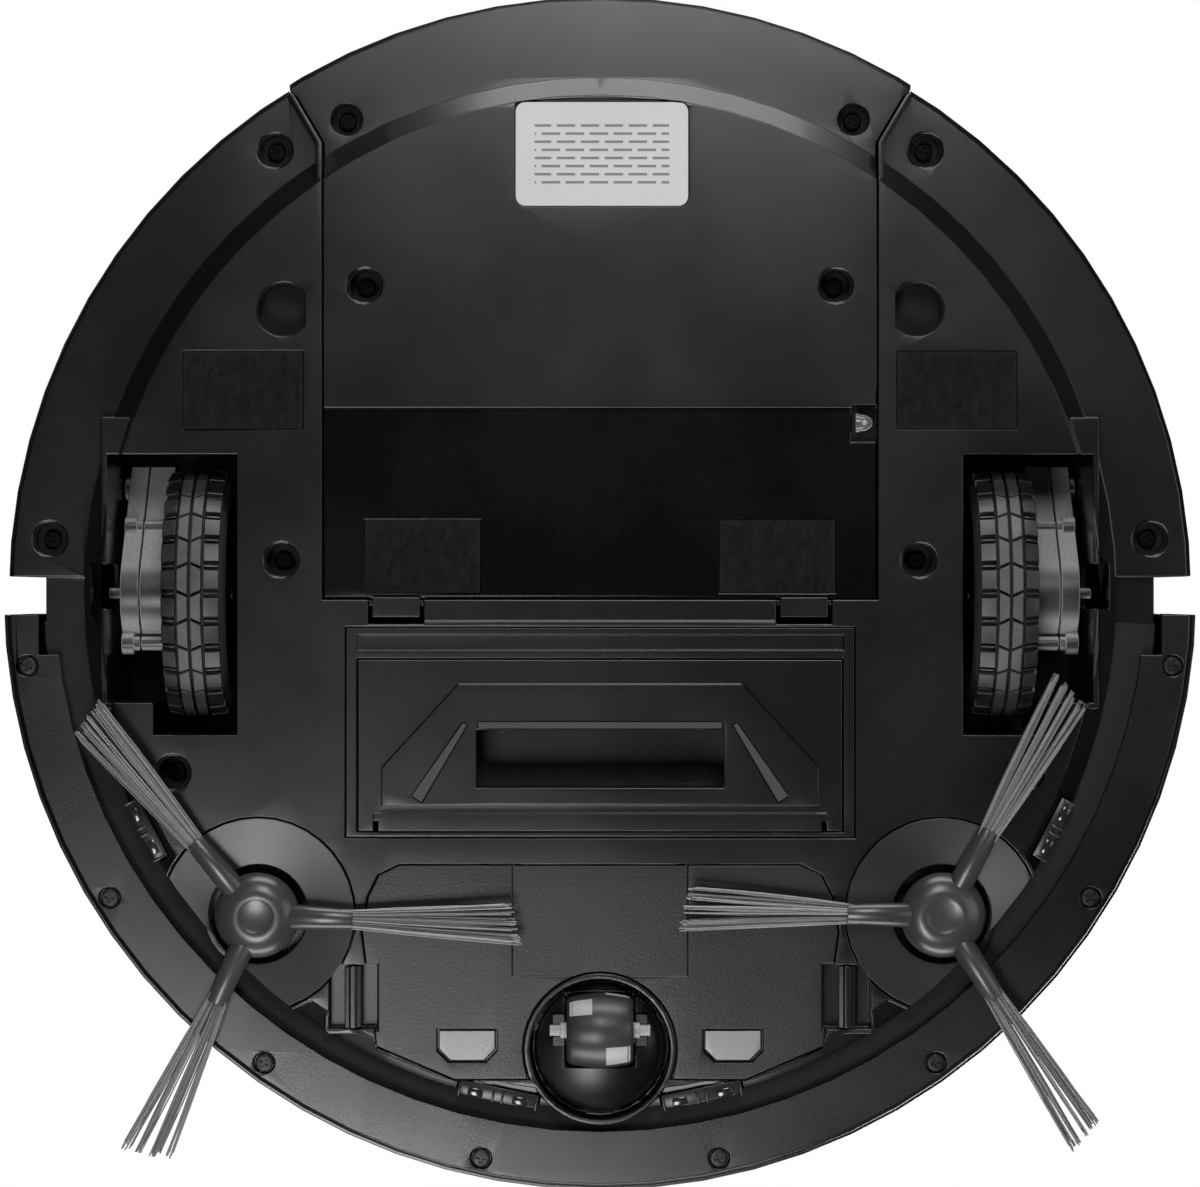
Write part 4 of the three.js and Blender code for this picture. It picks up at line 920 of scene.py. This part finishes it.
# side brushes
brush = {
    "arms": {"left": (50, 182, 295), "right": (118.5, 1, 237.5)},   # degrees from +X
    "dome": ((0, 2.95), (3.6, 2.95), (4.3, 2.75), (4.9, 2.6), (6.6, 2.8), (8.6, 3.5), (10, 4.6), (10.8, 6),
             (11, 7.4), (10.8, 9.4), (9.4, 10.4), (4, 10.4), (4, 30), (0, 30)),   # radius and height, mm
    "stemAbove": 25,     # height over which a hub is only its stem
    "rootZ": 6.3,
    "slope": 4.0,        # degrees down towards the tips
}
holder = {"start": 8.5, "end": 25, "width": 3.3, "tip": 2.6, "height": 2.4, "wall": 0.5, "mouth": 2.5,
          "rounding": 0.15}
tuft = {
    "strands": 95,
    "radius": 0.17,
    "start": 21,
    "reach": 67,
    "stray": (-2.2, 0.6),   # how far a bristle falls short or sticks out
    "rootHalf": 2.2,
    "tipHalf": 6.2,
    "thick": 1.0,
    "clumps": 9,
    "gather": 0.45,         # how strongly bristles lean to their clump
    "slant": (0.15, 0.4),   # how much further one side has worn
    "slantReach": 6,
    "bow": 0.5,
}


def hubCentre(name):
    vertices = nodes[f"{name}_brush_hub"].data.vertices
    stem = [vert.co for vert in vertices if vert.co.z > brush["stemAbove"] * mm]
    return sum(stem, Vector()) / len(stem)


def armPlace(centre, angle):
    root = Matrix.Translation((centre.x, centre.y, brush["rootZ"] * mm))
    turn = Matrix.Rotation(math.radians(angle), 4, "Z")
    return root @ turn @ Matrix.Rotation(math.radians(brush["slope"]), 4, "Y")


def holderTemplate():
    # a flattened tube along X, open at its tip
    bm = bmesh.new()
    length = holder["end"] - holder["start"]
    bmesh.ops.create_cone(bm, cap_ends=True, cap_tris=False, segments=20, radius1=holder["width"] * mm,
                          radius2=holder["tip"] * mm, depth=length * mm)
    bmesh.ops.rotate(bm, cent=(0, 0, 0), matrix=Matrix.Rotation(math.pi / 2, 3, "Y"), verts=bm.verts)
    bmesh.ops.scale(bm, vec=(1, 1, holder["height"] / holder["width"]), verts=bm.verts)
    bmesh.ops.translate(bm, vec=((holder["start"] + holder["end"]) / 2 * mm, 0, 0), verts=bm.verts)
    tip = [face for face in bm.faces if face.normal.x > 0.9]
    bmesh.ops.inset_region(bm, faces=tip, thickness=holder["wall"] * mm, depth=0)
    inner = bmesh.ops.extrude_face_region(bm, geom=tip)["geom"]
    bmesh.ops.delete(bm, geom=tip, context="FACES")
    bmesh.ops.translate(bm, vec=(-holder["mouth"] * mm, 0, 0), verts=onlyVerts(inner))
    return templateMesh(bm, "holder")


def buildHub(name, template):
    node = f"{name}_brush_hub"
    centre = hubCentre(name)
    bm = bmesh.new()
    spinAbout(bm, [Vector((centre.x + r * mm, centre.y, z * mm)) for r, z in brush["dome"]],
              (centre.x, centre.y, 0), (0, 0, 1), 56)
    closeUp(bm)
    showPiece(bm, f"{name}_brush_dome", bodyOf[node], "smoky_plastic", stands=(node,), sharp=50)
    bm = bmesh.new()
    for angle in brush["arms"][name]:
        bmesh.ops.transform(bm, matrix=armPlace(centre, angle), verts=addCopy(bm, template)[0])
    bmesh.ops.recalc_face_normals(bm, faces=bm.faces)
    roundEdges(bm, holder["rounding"] * mm, angle=50)
    showPiece(bm, f"{name}_brush_holders", bodyOf[node], "smoky_plastic")


def strandTemplate():
    # one bristle along X, one long, with four sides and two joints
    bm = bmesh.new()
    bmesh.ops.create_circle(bm, segments=4, radius=1, cap_ends=True)
    bmesh.ops.rotate(bm, cent=(0, 0, 0), matrix=Matrix.Rotation(math.pi / 2, 3, "Y"), verts=bm.verts)
    end = bm.faces[:]
    for step in range(3):
        grown = bmesh.ops.extrude_face_region(bm, geom=end)["geom"]
        if step:
            bmesh.ops.delete(bm, geom=end, context="FACES")
        end = onlyFaces(grown)
        bmesh.ops.translate(bm, vec=(1 / 3, 0, 0), verts=onlyVerts(grown))
    bmesh.ops.recalc_face_normals(bm, faces=bm.faces)
    return templateMesh(bm, "strand")


def buildTuft(name, index, angle, template):
    draw = random.Random(f"{name}{index}")
    node = f"{name}_brush_tuft_{index + 1}"
    place = armPlace(hubCentre(name), angle)
    bm = bmesh.new()
    shade = bm.loops.layers.float_color.new("strandShade")
    slant = draw.choice((-1, 1)) * draw.uniform(*tuft["slant"]) * tuft["slantReach"]
    clumps = [(draw.uniform(-1, 1), draw.uniform(-0.1, 0.1)) for _ in range(tuft["clumps"])]
    for _ in range(tuft["strands"]):
        across = draw.uniform(-1, 1)
        near, pull = min(clumps, key=lambda clump: abs(clump[0] - across))
        spread = across + (near - across) * tuft["gather"] + pull
        level = draw.uniform(-1, 1)
        reach = tuft["reach"] + slant * spread + draw.uniform(*tuft["stray"])
        root = Vector((tuft["start"], across * tuft["rootHalf"], level * tuft["thick"]))
        tip = Vector((reach, spread * tuft["tipHalf"], level * tuft["thick"] * 1.3))
        bow = draw.uniform(-tuft["bow"], tuft["bow"])
        tone = draw.uniform(0.1, 1)
        verts, faces = addCopy(bm, template)
        for vert in verts:
            share = vert.co.x
            middle = root.lerp(tip, share) + Vector((0, bow * math.sin(share * math.pi), 0))
            offset = Vector((0, vert.co.y, vert.co.z)) * tuft["radius"]
            vert.co = place @ ((middle + offset) * mm)
        for face in faces:
            for loop in face.loops:
                loop[shade] = (tone, tone, tone, 1)
    showPiece(bm, f"{name}_bristles_{index + 1}", bodyOf[node], "bristle", stands=(node,))


strand = strandTemplate()
armHolder = holderTemplate()
for name in sides:
    buildHub(name, armHolder)
    for index, angle in enumerate(brush["arms"][name]):
        buildTuft(name, index, angle, strand)
print("side brushes are in")


# caster
caster = {
    "barrel": ((1.85, -8.6), (7.6, -8.6), (8.3, -8.2), (8.8, -7.2), (9.3, -4.4), (9.65, -1.8), (9.75, 0),
               (9.65, 1.8), (9.3, 4.4), (8.8, 7.2), (8.3, 8.2), (7.6, 8.6), (1.85, 8.6)),   # radius, across
    "patches": ((30, 62, 2.0, 7.8), (-62, -22, -7.8, -1.6), (78, 100, -7.6, -1.4), (150, 190, 1.5, 7.8),
                (205, 250, -7.8, -1.5)),   # degrees from straight down towards the rear, and across
    "patchRise": 0.06,
    "patchDepth": 0.4,
}
pin = {"thin": 1.45, "thick": 2.1, "inner": 8.3, "step": 10.3, "outer": 13.0, "shaft": 1.5, "shaftHalf": 8.4,
       "rounding": 0.15}   # radii, and places out from the wheel's middle


def barrelRadius(across):
    # the barrel's radius at a place across it
    points = sorted((x, r) for r, x in caster["barrel"][1:-1])
    for (x0, r0), (x1, r1) in zip(points, points[1:]):
        if x0 <= across <= x1:
            return r0 + (r1 - r0) * (across - x0) / (x1 - x0)
    return points[0][1]


def spinBelow(bm, centre, line, steps):
    # turns a line of (radius, across) in mm about the wheel's axle
    spinAbout(bm, [centre + Vector((x * mm, 0, -r * mm)) for r, x in line], centre, (1, 0, 0), steps)


def buildBarrel(centre):
    bm = bmesh.new()
    spinBelow(bm, centre, caster["barrel"] + caster["barrel"][:1], 64)
    closeUp(bm)
    showPiece(bm, "caster_barrel", "caster_wheel", "caster_tread", stands=("caster_wheel",))


def buildMarks(centre):
    # pale patches on the barrel, a hair proud of it
    bm = bmesh.new()
    for start, end, x0, x1 in caster["patches"]:
        across = [x0 + (x1 - x0) * step / 6 for step in range(7)]
        outline = [(x, barrelRadius(x) + caster["patchRise"]) for x in across]
        outline += [(x, barrelRadius(x) - caster["patchDepth"]) for x in reversed(across)]
        verts = [bm.verts.new(centre + Vector((x * mm, 0, -r * mm))) for x, r in outline]
        face = bm.faces.new(verts)
        bmesh.ops.rotate(bm, cent=centre, matrix=Matrix.Rotation(math.radians(start), 3, "X"), verts=verts)
        bmesh.ops.spin(bm, geom=[face], cent=centre, axis=(1, 0, 0), dvec=(0, 0, 0),
                       angle=math.radians(end - start), steps=8, use_duplicate=False)
    closeUp(bm)
    showPiece(bm, "caster_marks", "caster_wheel", "caster_tread", markAndPaintedGlintGrey, sharp=50)


def buildPins(centre):
    bm = bmesh.new()
    thin, thick, shaft, half = pin["thin"], pin["thick"], pin["shaft"], pin["shaftHalf"]
    line = [(0, pin["inner"]), (thick, pin["inner"]), (thick, pin["step"]), (thin, pin["step"]),
            (thin, pin["outer"]), (0, pin["outer"])]
    for side in sides.values():
        spinBelow(bm, centre, [(r, side * x) for r, x in line], 24)
    spinBelow(bm, centre, [(0, -half), (shaft, -half), (shaft, half), (0, half)], 16)
    closeUp(bm)
    roundEdges(bm, pin["rounding"] * mm, angle=50)
    showPiece(bm, "caster_pins", "caster_swivel", "axle_steel", pinGrey, stands=("caster_axle",))


wheelMiddle = sum(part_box("caster_wheel"), Vector()) / 2
buildBarrel(wheelMiddle)
buildMarks(wheelMiddle)
buildPins(wheelMiddle)
print("caster is in")


# hook-and-loop pads
pile = {
    "loops": 620,
    "height": 0.75,
    "spread": 1.1,
    "radius": 0.09,
    "lean": 0.5,       # radians either way
    "margin": 0.5,     # bare edge of the pad
    "backing": 0.35,   # how far the pad's face is raised to make room for the loops
    "rounding": 0.25,
}


def loopTemplate():
    # half a ring of thin pile, one high and one wide, standing down from z = 0
    bm = bmesh.new()
    ring = bmesh.ops.create_circle(bm, segments=3, radius=pile["radius"] / pile["spread"],
                                   matrix=Matrix.Translation((0.5, 0, 0)))["verts"]
    bmesh.ops.spin(bm, geom=edgesOf(ring), cent=(0, 0, 0), axis=(0, 1, 0), dvec=(0, 0, 0), angle=math.pi,
                   steps=5, use_duplicate=False)
    bmesh.ops.scale(bm, vec=(1, 1, 2), verts=bm.verts)
    bmesh.ops.recalc_face_normals(bm, faces=bm.faces)
    if sum(vert.co.z for vert in bm.verts) > 0:
        bmesh.ops.rotate(bm, cent=(0, 0, 0), matrix=Matrix.Rotation(math.pi, 3, "X"), verts=bm.verts)
    return templateMesh(bm, "pileLoop")


def buildPad(node, template):
    low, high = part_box(node)
    draw = random.Random(node)
    base = mergedCopy(node)
    roundEdges(base, pile["rounding"] * mm)
    backing = low.z + pile["backing"] * mm
    margin, lean = pile["margin"] * mm, pile["lean"]
    for vert in base.verts:
        vert.co.z = max(vert.co.z, backing)
    bm = bmesh.new()
    for _ in range(pile["loops"]):
        place = Matrix.Translation((draw.uniform(low.x + margin, high.x - margin),
                                    draw.uniform(low.y + margin, high.y - margin), backing))
        turn = Matrix.Rotation(draw.uniform(0, math.tau), 4, "Z")
        turn = turn @ Matrix.Rotation(draw.uniform(-lean, lean), 4, "Y")
        wide = pile["spread"] * draw.uniform(0.7, 1.2) * mm
        tall = pile["height"] * draw.uniform(0.5, 1) * mm
        place = place @ turn @ Matrix.Diagonal((wide, wide, tall, 1))
        for vert in addCopy(bm, template)[0]:
            vert.co = place @ vert.co
    joinInto(bm, base)
    showPiece(bm, f"{node}_pile", bodyOf[node], "loop_pile", stands=(node,))


# clear indicator
led = {
    "radius": 2.15,
    "flange": 2.4,
    "flangeWidth": 0.9,
    "shoulder": 0.6,    # straight length before the dome
    "paintedGlint": 0.7,
    "paintedGlintSink": 0.42,   # from the lens's low side to the middle of the painted glint
    "pocket": (5.8, 9.0, 0.3),
    "pocketPlace": (0.2, 0, 3.3),
    "rounding": 0.05,
}


def buildLed():
    # a domed lens that points outboard, a pale sphere inside it as a painted glint, and a thin dark sheet
    # behind it as painted shade
    low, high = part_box("dust_bin_led")
    centre = (low + high) / 2
    back = high.x
    length = (high.x - low.x) / mm
    body, flange, width = led["radius"], led["flange"], led["flangeWidth"]
    line = [(0, 0), (flange, 0), (flange, width), (body, width)]
    dome = width + led["shoulder"]
    line += [(body * math.cos(step * math.pi / 16), dome + (length - dome) * math.sin(step * math.pi / 16))
             for step in range(8)] + [(0, length)]
    bm = bmesh.new()
    spinAbout(bm, [Vector((back - along * mm, centre.y, centre.z - r * mm)) for r, along in line],
              (back, centre.y, centre.z), (1, 0, 0), 32)
    closeUp(bm)
    showPiece(bm, "indicator_lens", "dust_bin", "clear_lens", lensPaintedRim, stands=("dust_bin_led",), sharp=50)
    # painted highlight: a pale sphere inside the lens stands in for its bright glint
    bm = bmesh.new()
    place = Matrix.Translation((centre.x, centre.y, low.z + led["paintedGlintSink"] * mm))
    bmesh.ops.create_icosphere(bm, subdivisions=3, radius=led["paintedGlint"] * mm, matrix=place)
    showPiece(bm, "indicator_painted_glint", "dust_bin", "clear_lens", markAndPaintedGlintGrey)
    # painted shade: a thin near-black sheet behind the lens
    bm = bmesh.new()
    place = Matrix.Translation(centre + Vector(led["pocketPlace"]) * mm)
    addBlock(bm, place, led["pocket"], led["rounding"])
    showPiece(bm, "indicator_pocket", "dust_bin", "inner_plastic", paintedShadeBlack)


pileLoop = loopTemplate()
for name in sides:
    buildPad(f"{name}_base_pad", pileLoop)
    buildPad(f"{name}_bin_pad", pileLoop)
buildLed()
print("pads and indicator are in")


# cliff sensors
sensor = {
    "rounding": 0.25,
    "eyes": (-0.28, 0.28),         # places of the two windows, as a share of the width
    "eye": (2.2, 4.0, 0.7),        # depth, width and height of a window, mm
    "eyeRounding": 0.4,
    "ribs": (-0.5, -0.06, 0.06, 0.5),
    "rib": (3.4, 0.7, 0.9),
    "ribRounding": 0.2,
    "angles": {"front": -101.5, "side": -152.5},   # degrees, on the side that is minus
    "radius": 133,
}


def sensorPlace(side, spot, along, low):
    # a place on the sensor's low face, X outwards and Y along the bumper
    angle = sensor["angles"][spot]
    if side > 0:
        angle = -180 - angle
    turn = Matrix.Rotation(math.radians(angle), 4, "Z")
    return Matrix.Translation((0, 0, low)) @ turn @ Matrix.Translation((sensor["radius"] * mm, along, 0))


def buildSensor(name, side, spot):
    # a housing with two windows between ribs
    node = f"{name}_{spot}_cliff_sensor"
    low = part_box(node)[0].z
    lengthwise = sensorPlace(side, spot, 0, 0).to_3x3().col[1].xy
    across = [vert.co.xy @ lengthwise for vert in nodes[node].data.vertices]
    width = max(across) - min(across)
    bm = mergedCopy(node)
    roundEdges(bm, sensor["rounding"] * mm)
    for share in sensor["ribs"]:
        along = share * (width - sensor["rib"][1] * mm)
        addBlock(bm, sensorPlace(side, spot, along, low), sensor["rib"], sensor["ribRounding"])
    showPiece(bm, f"{node}_housing", bodyOf[node], "inner_plastic", sensorGrey, stands=(node,))
    bm = bmesh.new()
    for share in sensor["eyes"]:
        addBlock(bm, sensorPlace(side, spot, share * width, low), sensor["eye"], sensor["eyeRounding"])
    showPiece(bm, f"{node}_windows", bodyOf[node], "gloss_panel", lensGrey)


for name, side in sides.items():
    for spot in sensor["angles"]:
        buildSensor(name, side, spot)
print("cliff sensors are in")


# painted shade: a thin dark ring behind the bumper's gap, and dark linings in the sockets
gapShade = {
    "inner": 134.15,
    "outer": 144.6,
    "rise": 6.85,      # above the floor of the case
    "thickness": 0.12,
    "start": -3.2,     # degrees, where it ends behind each end of the skirt
}
plug = {
    "x": 82,
    "y": 73.5,
    "radius": 6.9,
    "flat": 5.5,       # from its middle to the side cut off by the bin
    "depth": 9.6,
    "lift": 0.5,       # above the floor of the case
    "wall": 0.15,
}


def buildGapShade():
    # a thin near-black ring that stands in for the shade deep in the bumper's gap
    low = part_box("chassis_base")[0].z + gapShade["rise"] * mm
    bm = bmesh.new()
    start = math.radians(gapShade["start"])
    outward = Vector((math.cos(start), math.sin(start), 0))
    section = rectangle(gapShade["inner"], gapShade["outer"], 0, gapShade["thickness"])
    face = bm.faces.new([bm.verts.new(outward * r * mm + Vector((0, 0, low + z * mm))) for r, z in section])
    bmesh.ops.spin(bm, geom=[face], cent=(0, 0, 0), axis=(0, 0, 1), dvec=(0, 0, 0),
                   angle=-math.pi - 2 * start, steps=96, use_duplicate=False)
    closeUp(bm)
    showPiece(bm, "bumper_gap_painted_shade", "chassis", "inner_plastic", paintedShadeBlack)


def buildSocketShade():
    # painted shade: dark linings that make the plug sockets read black inside
    radius, depth = plug["radius"] * mm, plug["depth"] * mm
    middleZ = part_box("chassis_base")[0].z + depth / 2 + plug["lift"] * mm
    bm = bmesh.new()
    for side in sides.values():
        half = bmesh.new()
        place = Matrix.Translation((side * plug["x"] * mm, plug["y"] * mm, middleZ))
        bmesh.ops.create_cone(half, cap_ends=True, cap_tris=False, segments=40, radius1=radius,
                              radius2=radius, depth=depth, matrix=place)
        below = [face for face in half.faces if face.normal.z < -0.9]
        bmesh.ops.delete(half, geom=below, context="FACES_ONLY")
        bmesh.ops.bisect_plane(half, geom=everything(half), dist=1e-6,
                               plane_co=(side * (plug["x"] - plug["flat"]) * mm, 0, 0),
                               plane_no=(-side, 0, 0), clear_outer=True)
        bmesh.ops.solidify(half, geom=half.faces[:], thickness=plug["wall"] * mm)
        joinInto(bm, half)
    bmesh.ops.recalc_face_normals(bm, faces=bm.faces)
    showPiece(bm, "socket_painted_shade", "chassis", "inner_plastic", paintedShadeBlack)


buildGapShade()
buildSocketShade()
print("seal and linings are in")


# finish of the pieces that keep their CAD shape
for node, item in nodes.items():
    item.data.materials.clear()
    item.data.materials.append(materials[slotOf[node]])
